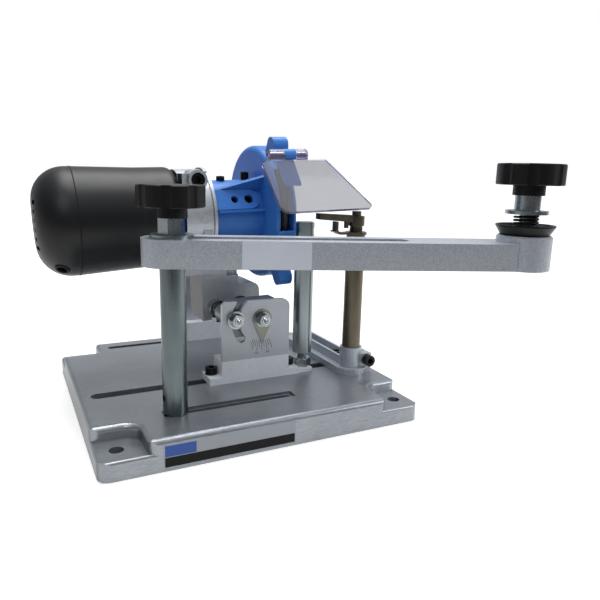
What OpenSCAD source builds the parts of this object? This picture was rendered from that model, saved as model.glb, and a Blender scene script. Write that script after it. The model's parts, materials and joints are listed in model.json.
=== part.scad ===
// Bench sharpener for circular saw blades.
// The origin is the centre of the base's bolt pattern, on the underside.
// X runs along the front edge, Y points away from the front and Z is up.

/* [Base] */
// Length of the base along its front edge
base_w = 254; // [244:1:280]
// Depth of the base from front to back
base_d = 240.6; // [234:1:260]
// Height of the base
base_h = 23.3; // [21:0.1:30]
// Thickness of the top plate
base_top = 7; // [5:0.5:9]
// Thickness of the outer walls and ribs
base_wall = 6; // [4:0.5:8]
// Length of a corner step along X
step_x = 32.4; // [28:0.1:34]
// Depth of a corner step along Y
step_y = 34.4; // [30:0.1:36]
// Height of the corner lugs
lug_h = 13.6; // [10:0.1:18]
// Rounding of the upright corners
base_corner = 7; // [4:0.5:10]
// Rounding of the upper edges
base_round = 4; // [2:0.5:5]
// Diameter of the mounting holes
mount_d = 10; // [6:0.5:12]
// Distance from the mounting holes to the base's ends
mount_x = 14.5; // [12:0.1:16]
// Distance from the mounting holes to the base's front and back
mount_y = 17.3; // [12:0.1:18]
// Width of the front and middle slots
slot_w = 11; // [10:0.1:12]
// Width of the rear slot
rear_slot_w = 7; // [6.6:0.1:8]
// Y of the front slot
front_slot_y = -79.3; // [-81:0.1:-78]
// Y of the middle slot
middle_slot_y = -25.5; // [-27:0.1:-24]
// Distance from the rear slot to the base's back
rear_slot_inset = 19.3; // [18:0.1:21]

/* [Column and arm] */
// X of the column
column_x = -65.8; // [-70:0.1:-60]
// Diameter of the column
column_d = 18; // [16:0.5:20]
// Height of the underside of the arm
arm_z = 132.5; // [125:0.1:140]
// Thickness of the arm
arm_t = 19.2; // [16:0.1:24]
// Width of the arm
arm_w = 38; // [34:0.5:42]
// Angle of the arm from the front edge
arm_yaw = -20.84; // [-30:0.01:-10]
// Width of the arm's slot
arm_slot_w = 14; // [13:0.1:16]
// Distance from the column to the far end of the arm's slot
arm_slot_end = 167; // [150:0.1:180]
// Distance from the column to the square end of the bar
arm_len = 241.1; // [238:0.1:250]
// Distance from the column to the blade boss
boss_reach = 253.7; // [250:0.1:262]
// Diameter of the blade boss
boss_d = 39.5; // [38:0.5:46]
// Height of the blade boss
boss_h = 24.8; // [24:0.1:30]
// How far the boss stands above the arm
boss_rise = 5; // [2:0.1:6]
// Diameter of the arm knob
arm_knob_d = 46.5; // [42:0.5:54]
// Diameter of the blade clamp knob
clamp_knob_d = 47.3; // [44:0.1:58]
// Number of lobes on a knob
knob_lobes = 8; // [6:1:10]
// Diameter of the clamping studs
stud_d = 10; // [8:0.5:11]

/* [Blade clamp] */
// Diameter of the centring cone's lower face
cone_low_d = 34.4; // [32:0.1:40]
// Diameter of the centring cone's rim
cone_rim_d = 42; // [40:0.1:48]
// Height of the centring cone
cone_h = 7.2; // [6:0.1:9]
// Diameter of the spring wire
spring_wire = 1.7; // [1.2:0.1:1.9]
// Outer diameter of the spring
spring_d = 18; // [16.5:0.5:20]
// Number of turns in the spring
spring_turns = 4; // [3:1:4]
// Height of the spring
spring_h = 11; // [10.5:0.1:13]
// Diameter of the clamp washer
clamp_washer_d = 30.4; // [28:0.1:36]
// Thickness of the clamp washer
clamp_washer_t = 2.5; // [1.5:0.1:4]
// Diameter of the clamp sleeve
sleeve_d = 18.2; // [16:0.1:22]
// Length of the clamp sleeve
sleeve_h = 10.8; // [8:0.1:14]

/* [Bracket] */
// X of the left side of the bracket blocks
bracket_x = -15.5; // [-18:0.1:-14]
// Width of the bracket blocks
bracket_w = 61; // [56:0.5:63]
// Y of the front face of the front bracket
bracket_y = -38.6; // [-39:0.1:-38]
// Depth of the front block
bracket_depth = 21.6; // [20:0.1:24]
// Height of the blocks above the base
bracket_h = 19.4; // [16:0.1:21]
// Height of the bracket plates above the blocks
plate_h = 49.8; // [48:0.1:54]
// Thickness of the bracket plates
plate_t = 4; // [3:0.1:5]
// Length of a foot
foot_len = 10.5; // [10:0.1:12]
// Thickness of a foot
foot_h = 5.9; // [4:0.1:8]
// Depth of the rear block
rear_block_depth = 15; // [14:0.1:16]

/* [Tilting frame] */
// X of the tilting axis
pivot_x = 20; // [19:0.1:21]
// Height of the tilting axis
pivot_z = 76.3; // [75:0.1:78]
// Tilt of the head as it stands, right side up
tilt_rest = 2.3; // [0:0.1:3]
// Diameter of the main shaft
shaft_d = 16; // [14:0.5:18]
// Distance from the tilting axis to the guide rod
guide_r = 24; // [23:0.1:25]
// Angle of the guide rod above the level, before the tilt
guide_angle = 6; // [3:0.5:8]
// Diameter of the guide rod
guide_d = 8; // [6:0.5:9]
// Depth of the tilting block
tilt_depth = 21.5; // [16:0.5:23]
// Half the height of the tilting block
tilt_half = 14.2; // [13:0.1:15]
// Width across flats of the small nuts
nut_af = 10; // [9:0.5:11]

/* [Carrier] */
// Y of the front face of the carrier
carrier_y = 12; // [11:0.1:13]
// Depth of the carrier
carrier_depth = 36; // [34:0.5:37]
// Height of the carrier's underside
carrier_z = 67; // [64:0.1:66]
// Height of the carrier's lower block
carrier_h = 30.5; // [29:0.1:33]
// Right side of the carrier's lower block
carrier_right = 39; // [36:0.1:40]
// Height of the motor axis, before the tilt
axis_z = 159.6; // [159:0.1:163]
// Y of the motor axis
axis_y = 29.5; // [29:0.1:31]
// Outer radius of the clamp ring
ring_r = 40; // [39:0.1:42]
// Width of the clamp ring
ring_w = 26; // [24:0.1:28]
// X of the clamp ring's right face
ring_right = -5.7; // [-6:0.1:-5]

/* [Motor] */
// Radius of the motor's nose in the ring
nose_r = 27.4; // [25:0.1:28]
// Radius of the motor body at its front
motor_r = 42; // [41:0.1:43]
// Radius of the motor body at the cap
motor_rear_r = 43.8; // [43:0.1:45]
// Length of the motor body behind the ring
motor_len = 82; // [78:0.5:86]
// Depth of the end cap
cap_depth = 30; // [28:0.5:33]
// Corner radius of the end cap
cap_round = 26; // [20:0.5:27]
// Thickness of the motor's walls
motor_wall = 2.5; // [2:0.1:3.5]
// Diameter of the motor shaft
spindle_d = 12; // [10:0.5:13]
// Diameter of the cable inlet
inlet_d = 9; // [6:0.5:10]
// Number of vent slots
vents = 6; // [4:1:7]

/* [Guard and wheel] */
// Radius of the guard
guard_r = 59.6; // [58.5:0.1:61]
// Width of the guard's left shell
guard_w = 15.1; // [14.5:0.1:15.5]
// Thickness of the guard's walls
guard_wall = 2.5; // [2:0.1:3]
// Thickness of the right cover
cover_t = 2; // [1.5:0.1:2.5]
// Radius of the guard's neck
neck_r = 30; // [28:0.1:31]
// Length of the guard's neck
neck_len = 45.9; // [43:0.1:47]
// Radius of the screw lugs
pillar_r = 7; // [6:0.1:8]
// Distance from the motor axis to the screw lugs
pillar_reach = 68.5; // [67:0.1:70]
// Radius of the grinding wheel
wheel_r = 55; // [50:0.5:55.5]
// Width of the grinding wheel's rim
wheel_w = 4.5; // [3:0.1:5]
// Width of the grit-coated rim band
rim_band = 10; // [6:0.5:14]

/* [Shield] */
// Y of the shield's hinge
hinge_y = -28.5; // [-30:0.1:-28]
// Height of the shield's hinge, before the tilt
hinge_z = 210; // [209:0.1:212]
// Slant of the shield from the vertical
shield_slant = 37; // [30:0.5:42]
// Thickness of the shield
shield_t = 3; // [2:0.1:4]
// Reach of the shield below its hinge
shield_len = 55.5; // [50:0.5:56]
// Radius of the hinge knuckles
knuckle_r = 5; // [4:0.1:5.4]
// Diameter of the hinge pin
pin_d = 4; // [3:0.1:5]

/* [Blade rest] */
// X of the blade rest
rest_x = 65; // [65:0.1:66]
// Diameter of the blade rest
rest_d = 17; // [14:0.5:18]
// Height of the blade rest's top
rest_top = 156; // [150:0.1:157]
// Height of the blade rest's lower end
rest_low = 39.5; // [36.5:0.1:42]
// Diameter of the rest's stud
rest_stud_d = 8; // [6:0.5:9]
// Thickness of the rest's foot plate
rest_plate_t = 3.2; // [2:0.1:4]
// Height of the rest's nut
rest_nut_h = 7.3; // [5:0.1:8]

/* [Feed stop] */
// Distance from the stop rod to the base's right end
stop_inset = 25.5; // [25:0.1:27]
// Y of the stop rod
stop_y = -50.5; // [-52:0.1:-50]
// Diameter of the stop rod
stop_d = 16; // [14:0.5:16.5]
// Height of the stop rod's shoulder
stop_top = 147; // [140:0.1:147]
// Width of the link's flange
link_w = 29; // [26:0.5:30]
// Length of the link between its end centres
link_len = 96; // [90:1:100]
// Thickness of the link's flange
link_t = 6; // [5:0.1:8]
// Outer width of the link's raised walls
link_wall_w = 15.5; // [15:0.1:17]
// Height of the link's raised walls above the base
link_wall_h = 13.5; // [10:0.1:16]
// Width of the link's channel
channel_w = 10.7; // [10.4:0.1:12]
// Width of the link's through slot
link_slot_w = 6.8; // [6.6:0.1:7.5]
// Height of the link's boss above the base
link_boss_h = 23.7; // [20:0.1:28]
// Length of the finger
finger_len = 37.5; // [30:0.5:40]

/* [Fits] */
// Gap between faces that move past each other
gap = 0.3; // [0.2:0.05:0.4]
// Radial play of a running fit
play = 0.08; // [0.05:0.01:0.1]
// Radial gap of a seat between pieces that stay together
seat = 0.02; // [0.01:0.01:0.04]
// Gap between flat faces that slide on each other
rub = 0.04; // [0.02:0.01:0.1]
// Diameter of the M6 screws
m6 = 6; // [5:0.1:6.4]
// Diameter of the M6 screw heads
m6_head = 10; // [9:0.1:10.2]
// Height of the M6 screw heads
m6_head_h = 6; // [5:0.1:6.5]

/* [Hidden] */
$fn = 64;

plate_low = base_h - base_top;
arm_top = arm_z + arm_t;
slot_ends_front = [-75, 30];
slot_ends_middle = [9 - base_w / 2, base_w / 2 - 15];
rear_slot_y = base_d / 2 - rear_slot_inset;
rear_block_y = rear_slot_y - 6;
stop_x = base_w / 2 - stop_inset;
small_tnut = 13.6;
tilt_right = tilt_half + 2.6;
slot_ends_rear = [-85, 60];
rib_y = [-52, 5, 66];
cross_rib_x = [-60, 45];
tnut_h = 6;
tnut_w = 18;
m6_hole = m6 + 0.6;
column_washer_t = 3;
column_screw_d = 8;
column_head_d = 13;
arm_tail = 21;
flange_t = 2.3;
flange_d = 30;
arm_nut_af = 16.4;
arm_nut_h = 11.2;
hub_h = 7.2;
lobe_h = 15;
arm_knob_hub_d = 22;
clamp_knob_hub_d = 22.5;
arm_stack_z = arm_top + flange_t;
arm_knob_z = arm_stack_z + arm_nut_h;
boss_top = arm_top + boss_rise;
cone_z = boss_top + 0.4;
cone_floor = cone_z + cone_h - 3.3;
clamp_washer_z = cone_floor + spring_h;
sleeve_z = clamp_washer_z + clamp_washer_t;
clamp_knob_z = sleeve_z + sleeve_h;
spring_r = (spring_d - spring_wire) / 2;
spring_steps = spring_turns * 8;
curl_lo = cone_floor + spring_wire;
curl_hi = cone_floor + spring_h - spring_wire;
block_top = base_h + bracket_h;
screw_left = bracket_x - foot_len / 2;
screw_right = bracket_x + bracket_w + foot_len / 2;
tongue_h = 10;
tongue_t = 2;
plate_back = bracket_y + plate_t;
rear_plate_y = rear_block_y + rear_block_depth - plate_t;
guide_x = pivot_x - guide_r * cos(guide_angle);
guide_z = pivot_z + guide_r * sin(guide_angle);
tilt_y = plate_back + gap;
tilt_back = tilt_y + tilt_depth;
neck_d = m6;
pointer_t = 1.2;
tilt_washer_t = 1.6;
tilt_nut_h = 5.2;
front_stack = bracket_y - pointer_t - tilt_washer_t - tilt_nut_h;
slot_sweep = [131, 220];
flange_w = 9.4;
guide_end = carrier_y + carrier_depth + 28;
ring_left = ring_right - ring_w;
shoulder_r = 8;
motor_front = ring_left - gap;
cap_seam = motor_front - motor_len;
cap_end = cap_seam - cap_depth;
bearing_r = 16;
bearing_w = 10;
rear_bearing_r = 13;
rear_bearing_w = 8;
spindle_end = cap_end + 8;
fan_x = cap_seam + 2;
core_x = [motor_front - 62, motor_front - 22];
stator_in = 24.4;
core_r = 23.8;
guard_x = ring_right + neck_len;
cover_x = guard_x + guard_w;
wheel_x = guard_x + 7.1;
pillar_angles = [120.5, 233];
mouth_z = [-14, 38];
mouth_edge = -38;
guard_round = 5;
lug_ends = [4.4, 3];
visor_y = 2.1;
visor_t = 2.2;
visor_len = 28.5;
clamp_boss_r = 8.2;
clamp_boss_z = nose_r + m6 / 2 + 1.1;
neck_screw_places = [[ring_right + 16, 98, 3.4], [ring_right + 39.5, 95, 6.5]];
hinge_x = [33.4, 46.7, 47, 56.6, 56.9, 67.4];
rest_nut_z = base_h + rest_plate_t;
link_top = base_h + link_t;
ear_x = stop_d / 2 + m6 / 2 + gap;
finger_z = stop_top + 6.9;

module rounded_rect(w, d, r) {
    square([w - 2 * r, d], center = true);
    square([w, d - 2 * r], center = true);
    for (x = [-1, 1], y = [-1, 1])
        translate([x * (w / 2 - r), y * (d / 2 - r)]) circle(r);
}

module crown_profile(w, h, r) {
    translate([-w / 2, 0]) square([w, h - r]);
    translate([-w / 2 + r, 0]) square([w - 2 * r, h]);
    for (x = [-1, 1]) translate([x * (w / 2 - r), h - r]) circle(r);
}

// A block whose upright corners and upper edges are rounded
module crowned_block(w, d, h, corner, round) {
    intersection() {
        linear_extrude(h) rounded_rect(w, d, corner);
        rotate([90, 0, 90]) translate([0, 0, -w / 2]) linear_extrude(w) crown_profile(d, h, round);
        rotate([90, 0, 0]) translate([0, 0, -d / 2]) linear_extrude(d) crown_profile(w, h, round);
    }
}

module slot_outline(x0, x1, w) {
    translate([x0 + w / 2, -w / 2]) square([x1 - x0 - w, w]);
    for (x = [x0 + w / 2, x1 - w / 2]) translate([x, 0]) circle(w / 2);
}

module upright(d, z0, z1) {
    translate([0, 0, z0]) cylinder(d = d, h = z1 - z0);
}

// A cylinder along X or Y, from one place to another
module along_x(r, x0, x1) {
    translate([x0, 0, 0]) rotate([0, 90, 0]) cylinder(r = r, h = x1 - x0);
}

module along_y(r, y0, y1) {
    translate([0, y1, 0]) rotate([90, 0, 0]) cylinder(r = r, h = y1 - y0);
}

// Outlines drawn in the XZ plane, or in the YZ plane
module front_outline(y0, y1) {
    translate([0, y1, 0]) rotate([90, 0, 0]) linear_extrude(y1 - y0) children();
}

module side_outline(x0, x1) {
    translate([x0, 0, 0]) rotate([90, 0, 90]) linear_extrude(x1 - x0) children();
}

module spun_x() {
    rotate([0, 90, 0]) rotate_extrude($fn = 96) children();
}

module hexagon(af, h) {
    cylinder(d = af / cos(30), h = h, $fn = 6);
}

// A socket cap screw whose head sits on z = 0, with its shank below
module cap_screw(d, head_d, head_h, len) {
    difference() {
        union() {
            cylinder(d = head_d, h = head_h);
            translate([0, 0, -len]) cylinder(d = d, h = len);
        }
        translate([0, 0, head_h * 0.45]) hexagon(head_d * 0.5, head_h);
    }
}

module knob_lobes_solid(d, h) {
    scallop_r = d * 0.2;
    intersection() {
        rotate_extrude() polygon([
            [0, 0], [d / 2 - 0.7, 0], [d / 2, 0.7], [d / 2, h - 0.7], [d / 2 - 0.7, h], [0, h]
        ]);
        linear_extrude(h) difference() {
            circle(d = d);
            for (i = [0 : knob_lobes - 1])
                rotate((i + 0.5) * 360 / knob_lobes) translate([d / 2 + scallop_r * 0.88, 0]) circle(scallop_r);
        }
    }
}

module knob_body(d, hub_d, bore_d, bore_h) {
    difference() {
        union() {
            cylinder(d = hub_d, h = hub_h);
            translate([0, 0, hub_h]) knob_lobes_solid(d, lobe_h);
        }
        translate([0, 0, -1]) cylinder(d = bore_d, h = bore_h + 1);
    }
}

// The casting stands on its walls, with ribs between the slots
module pocket_outline() {
    difference() {
        union() {
            rounded_rect(base_w - 2 * base_wall, base_d - 2 * step_y - 2 * base_wall, 4);
            rounded_rect(base_w - 2 * step_x - 2 * base_wall, base_d - 2 * base_wall, 4);
        }
        for (y = rib_y) translate([-base_w / 2, y - base_wall / 2]) square([base_w, base_wall]);
        for (x = cross_rib_x) translate([x - base_wall / 2, rib_y[1]]) square([base_wall, rib_y[2] - rib_y[1]]);
    }
}

module base_plate() {
    color("silver") difference() {
        union() {
            crowned_block(base_w, base_d - 2 * step_y, base_h, base_corner, base_round);
            crowned_block(base_w - 2 * step_x, base_d, base_h, base_corner, base_round);
            crowned_block(base_w, base_d, lug_h, base_corner + 2, 2);
        }
        translate([0, 0, -1]) linear_extrude(plate_low + 1) pocket_outline();
        translate([0, front_slot_y, -1]) linear_extrude(base_h + 2)
            slot_outline(slot_ends_front[0], slot_ends_front[1] - 2, column_screw_d + 0.8);
        translate([slot_ends_front[0], front_slot_y - slot_w / 2, base_h - 2.5])
            cube([slot_ends_front[1] - slot_ends_front[0], slot_w, 5]);
        translate([0, middle_slot_y, plate_low - 1]) linear_extrude(base_top + 2)
            slot_outline(slot_ends_middle[0], slot_ends_middle[1], slot_w);
        translate([0, rear_slot_y, plate_low - 1]) linear_extrude(base_top + 2)
            slot_outline(slot_ends_rear[0], slot_ends_rear[1], rear_slot_w);
        for (x = [-1, 1], y = [-1, 1])
            translate([x * (base_w / 2 - mount_x), y * (base_d / 2 - mount_y), -1])
                cylinder(d = mount_d, h = lug_h + 2);
    }
}

module at_column() {
    translate([column_x, front_slot_y, 0]) children();
}

module column_post() {
    color("lightgray") at_column() difference() {
        union() {
            upright(column_d, base_h + 0.8, arm_z - 0.8);
            upright(column_d - 1.6, base_h, arm_z);
        }
        upright(stud_d, arm_z - 18, arm_z + 1);
        upright(column_screw_d, base_h - 1, base_h + 16);
        translate([0, 0, base_h + 12.7]) rotate([0, 0, 190]) along_x(2.5, 0, column_d);
    }
}

module column_stud() {
    color("gray") at_column() upright(stud_d - 2 * seat, arm_z - 17.5, arm_knob_z + hub_h + 6);
}

module column_screw() {
    color("dimgray") at_column() translate([0, 0, plate_low - column_washer_t])
        rotate([180, 0, 0]) cap_screw(column_screw_d - 2 * seat, column_head_d, 8, base_top + column_washer_t + 15);
}

module column_washer() {
    color("gray") at_column() difference() {
        translate([-9, -7.5, plate_low - column_washer_t]) cube([18, 15, column_washer_t]);
        upright(column_screw_d + 2 * seat, 0, base_h);
    }
}

module column_grub() {
    color("dimgray") at_column() translate([0, 0, base_h + 12.7]) rotate([0, 0, 190])
        difference() {
            along_x(2.45, column_screw_d / 2 + 0.1, column_d / 2 - 1);
            translate([column_d / 2 - 3, 0, 0]) rotate([0, 90, 0]) hexagon(2.5, 3);
        }
}

module arm_bush() {
    color("silver") at_column() difference() {
        union() {
            upright(arm_slot_w - 2 * gap, arm_z + gap, arm_top);
            upright(arm_slot_w - 4, arm_z + gap, arm_stack_z);
            upright(flange_d, arm_top + rub, arm_stack_z);
        }
        upright(stud_d + 2 * play, arm_z, arm_stack_z + 1);
    }
}

module in_arm() {
    at_column() rotate([0, 0, arm_yaw]) children();
}

module swing_arm() {
    color("silver") in_arm() difference() {
        union() {
            translate([0, 0, arm_z]) linear_extrude(arm_t) difference() {
                union() {
                    translate([arm_w / 2 - arm_tail, -arm_w / 2]) square([arm_len + arm_tail - arm_w / 2, arm_w]);
                    translate([arm_w / 2 - arm_tail, 0]) circle(arm_w / 2);
                }
                slot_outline(-arm_slot_w / 2 - 1, arm_slot_end, arm_slot_w);
            }
            translate([boss_reach, 0, 0]) {
                upright(boss_d, boss_top - boss_h, boss_top - 1);
                upright(boss_d - 2, boss_top - 1, boss_top);
            }
        }
        translate([boss_reach, 0, 0]) upright(stud_d, boss_top - boss_h - 1, boss_top + 1);
    }
}

module at_boss() {
    in_arm() translate([boss_reach, 0, 0]) children();
}

module blade_stud() {
    color("gray") at_boss() upright(stud_d - 2 * seat, boss_top - boss_h + 2, clamp_knob_z + hub_h + 6);
}

module arm_nut() {
    color("silver") at_column() translate([0, 0, arm_stack_z]) difference() {
        hexagon(arm_nut_af, arm_nut_h);
        translate([0, 0, -1]) cylinder(d = stud_d + 2 * play, h = arm_nut_h + 2);
    }
}

module arm_knob() {
    color([0.12, 0.12, 0.13]) at_column() translate([0, 0, arm_knob_z])
        knob_body(arm_knob_d, arm_knob_hub_d, stud_d + 2 * play, hub_h + 7);
}

module centring_cone() {
    bore = stud_d / 2 + gap;
    rim = cone_rim_d / 2;
    low = cone_low_d / 2;
    top = cone_z + cone_h;
    color([0.1, 0.1, 0.1]) at_boss() rotate_extrude() polygon([
        [bore, cone_z], [low, cone_z], [rim, top - 1], [rim, top], [rim - 1.6, top],
        [rim - 4.4, cone_floor], [bore, cone_floor]
    ]);
}

// Points along the wire: a short straight end, the curls, and a straight end
function curl_point(i) = [
    spring_r * cos(i * 45), spring_r * sin(i * 45),
    curl_lo + (curl_hi - curl_lo) * i / spring_steps
];
curl_points = [for (i = [0 : spring_steps]) curl_point(i)];
wire_points = concat(
    [[spring_r, 0, cone_floor + 0.02]],
    curl_points,
    [[spring_r, 0, cone_floor + spring_h - 0.02]]
);
function unit(v) = v / norm(v);
function heading(p, i) = i == 0 ? [0, 0, 1]
    : i == len(p) - 1 ? [0, 0, 1]
    : unit(unit(p[i + 1] - p[i]) + unit(p[i] - p[i - 1]));
function wire_ring(p, i, r, sides) = let (
        t = heading(p, i),
        out = unit([p[i][0], p[i][1], 0]),
        side = unit(cross(t, out)),
        up = cross(side, t)
    ) [for (k = [0 : sides - 1]) p[i] + r * cos(k * 360 / sides) * up + r * sin(k * 360 / sides) * side];

module wire(p, r, sides) {
    n = len(p);
    points = [for (i = [0 : n - 1]) each wire_ring(p, i, r, sides)];
    skin = [for (i = [0 : n - 2], k = [0 : sides - 1]) let (
            a = i * sides + k, b = i * sides + (k + 1) % sides
        ) each [[a, b, b + sides], [a, b + sides, a + sides]]];
    last = (n - 1) * sides;
    low = [for (k = [1 : sides - 2]) [0, k + 1, k]];
    high = [for (k = [1 : sides - 2]) [last, last + k, last + k + 1]];
    polyhedron(points, concat(skin, low, high));
}

// Least gap of the wire to itself, over pairs that are half a turn apart or more
spring_gap = min([for (i = [0 : len(wire_points) - 1], j = [i + 4 : 1 : len(wire_points) - 1])
    norm(wire_points[i] - wire_points[j])]) - spring_wire;
echo(spring_gap = spring_gap);

module clamp_spring() {
    color([0.15, 0.15, 0.15]) at_boss() wire(wire_points, spring_wire / 2, 6);
}

module clamp_washer() {
    color("silver") at_boss() difference() {
        upright(clamp_washer_d, clamp_washer_z, sleeve_z);
        upright(stud_d + 2 * play, clamp_washer_z - 1, sleeve_z + 1);
    }
}

module clamp_sleeve() {
    color("silver") at_boss() difference() {
        upright(sleeve_d, sleeve_z, clamp_knob_z);
        upright(stud_d + 2 * play, sleeve_z - 1, clamp_knob_z + 1);
    }
}

module clamp_knob() {
    color([0.12, 0.12, 0.13]) at_boss() translate([0, 0, clamp_knob_z])
        knob_body(clamp_knob_d, clamp_knob_hub_d, stud_d + 2 * play, hub_h + 7);
}

// A bracket block with a foot at each end and a groove for its plate
module bracket_block(y0, depth, screw_y, groove_y) {
    difference() {
        union() {
            translate([bracket_x, y0, base_h]) cube([bracket_w, depth, bracket_h]);
            translate([bracket_x - foot_len, y0, base_h]) cube([bracket_w + 2 * foot_len, depth, foot_h]);
        }
        translate([bracket_x + 8, groove_y, block_top - tongue_h])
            cube([bracket_w - 16, tongue_t, tongue_h + 1]);
        for (x = [screw_left, screw_right]) translate([x, screw_y, 0]) upright(m6_hole, base_h - 1, block_top);
    }
}

module front_block() {
    color("silver") bracket_block(bracket_y, bracket_depth, middle_slot_y, plate_back - tongue_t);
}

module rear_block() {
    color("silver") bracket_block(rear_block_y, rear_block_depth, rear_slot_y, rear_plate_y);
}

// The plate's outline: a small upper left corner and a large upper right one
module plate_outline() {
    left = bracket_x + gap;
    right = bracket_x + bracket_w;
    top = block_top + plate_h;
    translate([left, block_top]) square([right - left, plate_h - 7]);
    translate([left + 3, top - 8]) square([right - left - 10, 8]);
    translate([left + 3, top - 3]) circle(3);
    translate([left, top - 8]) square([4, 5]);
    translate([right - 7, top - 7]) circle(7);
}

// The curved slot in which the lock stud travels, centred on the tilting axis
module lock_slot(w) {
    difference() {
        circle(guide_r + w / 2);
        circle(guide_r - w / 2);
        polygon([[0, 0], for (a = [slot_sweep[1] : 22 : slot_sweep[0] + 360]) 60 * [cos(a), sin(a)],
            60 * [cos(slot_sweep[0]), sin(slot_sweep[0])]]);
    }
    for (a = slot_sweep) rotate(a) translate([guide_r, 0]) circle(w / 2 - 0.03);
}

module front_plate() {
    color("lightgray") difference() {
        union() {
            front_outline(bracket_y, plate_back) plate_outline();
            translate([bracket_x + 8.1, plate_back - tongue_t, block_top - tongue_h])
                cube([bracket_w - 16.2, tongue_t, tongue_h + 5]);
        }
        translate([pivot_x, 0, pivot_z]) along_y(neck_d / 2 + play, bracket_y - 1, plate_back + 1);
        translate([pivot_x, 0, pivot_z]) front_outline(bracket_y - 1, plate_back + 1) lock_slot(neck_d + 1);
    }
}

module rear_plate() {
    color("lightgray") difference() {
        union() {
            front_outline(rear_plate_y, rear_plate_y + plate_t) plate_outline();
            translate([bracket_x + 8.1, rear_plate_y, block_top - tongue_h])
                cube([bracket_w - 16.2, tongue_t, tongue_h + 5]);
        }
        translate([pivot_x, 0, pivot_z]) along_y(neck_d / 2 + play, rear_plate_y - 1, rear_plate_y + plate_t + 1);
    }
}

module bracket_screws() {
    len = foot_h + base_top + tnut_h - 1;
    color([0.1, 0.1, 0.1]) for (x = [screw_left, screw_right], y = [middle_slot_y, rear_slot_y])
        translate([x, y, base_h + foot_h]) cap_screw(m6, m6_head, m6_head_h, len);
}

module tnut(x, y, d, len = tnut_w) {
    translate([x, y, plate_low - tnut_h]) difference() {
        translate([-len / 2, -tnut_w / 2, 0]) cube([len, tnut_w, tnut_h]);
        translate([0, 0, -1]) cylinder(d = d, h = tnut_h + 2);
    }
}

module bracket_tnuts() {
    color("gray") for (x = [screw_left, screw_right], y = [middle_slot_y, rear_slot_y])
        tnut(x, y, m6 + 2 * seat, small_tnut);
}

// What tilts stands in the head's own frame, which is turned about the tilting axis
module in_head() {
    translate([pivot_x, 0, pivot_z]) rotate([0, -tilt_rest, 0]) translate([-pivot_x, 0, -pivot_z]) children();
}

module at_pivot() {
    in_head() translate([pivot_x, 0, pivot_z]) children();
}

module at_guide() {
    in_head() translate([guide_x, 0, guide_z]) children();
}

module tilt_block() {
    color("silver") difference() {
        union() {
            at_pivot() front_outline(tilt_y, tilt_back)
                translate([-guide_r, -tilt_half]) square([guide_r + tilt_right, 2 * tilt_half]);
            at_guide() along_y(8, tilt_y, tilt_back + 3);
        }
        at_pivot() along_y(shaft_d / 2, tilt_y - 1, tilt_back + 1);
        at_guide() along_y(guide_d / 2, tilt_y - 1, tilt_back + 4);
    }
}

module main_shaft() {
    color("lightgray") at_pivot() {
        along_y(shaft_d / 2 - seat, tilt_y, rear_plate_y - gap);
        along_y(neck_d / 2, front_stack - 1, rear_plate_y + plate_t + tilt_washer_t + tilt_nut_h + 2);
        translate([0, front_stack - 1, 0]) sphere(r = neck_d / 2 - 0.8);
    }
}

module guide_rod() {
    color("lightgray") at_guide() {
        along_y(guide_d / 2 - seat, tilt_y, guide_end);
        along_y(neck_d / 2, front_stack - 1, tilt_y + 1);
        translate([0, front_stack - 1, 0]) sphere(r = neck_d / 2 - 0.8);
    }
}

module nut_along_y(y0, h, af, d) {
    translate([0, y0 + h, 0]) rotate([90, 0, 0]) difference() {
        hexagon(af, h);
        translate([0, 0, -1]) cylinder(d = d, h = h + 2);
    }
}

module ring_along_y(y0, h, outer, d) {
    difference() {
        along_y(outer / 2, y0, y0 + h);
        along_y(d / 2, y0 - 1, y0 + h + 1);
    }
}

module tilt_nuts() {
    rear = rear_plate_y + plate_t + tilt_washer_t;
    color("silver") {
        at_pivot() nut_along_y(front_stack, tilt_nut_h, nut_af, neck_d + 2 * seat);
        at_guide() nut_along_y(front_stack, tilt_nut_h, nut_af, neck_d + 2 * seat);
        at_pivot() nut_along_y(rear, tilt_nut_h, nut_af, neck_d + 2 * seat);
    }
}

module tilt_washers() {
    washer_y = bracket_y - pointer_t - tilt_washer_t;
    color("lightgray") {
        at_pivot() ring_along_y(washer_y, tilt_washer_t, nut_af + 3, neck_d + 2 * seat);
        at_guide() ring_along_y(washer_y, tilt_washer_t + pointer_t, nut_af + 5, neck_d + 2 * seat);
        at_pivot() ring_along_y(rear_plate_y + plate_t, tilt_washer_t, nut_af + 5, neck_d + 2 * seat);
    }
}

module pointer() {
    color("silver") translate([pivot_x, 0, pivot_z]) difference() {
        front_outline(bracket_y - pointer_t, bracket_y) {
            circle(r = 6.6);
            polygon([[-6.6, 0], [0, -18.5], [6.6, 0]]);
        }
        along_y(neck_d / 2 + seat, bracket_y - 3, bracket_y + 1);
    }
}

// The carrier: a block on the shaft, a leg and a split ring that grips the motor's nose
module carrier_outline() {
    top = carrier_z + carrier_h;
    difference() {
        union() {
            translate([bracket_x, carrier_z]) square([carrier_right - bracket_x, carrier_h - 7]);
            translate([bracket_x, carrier_z]) square([carrier_right - bracket_x - 7, carrier_h]);
            translate([carrier_right - 7, top - 7]) circle(7);
            translate([bracket_x, top - 1]) square([34.5, 24]);
        }
        translate([bracket_x + 28.5, top + 9]) square([6.5, 20]);
    }
}

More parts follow.
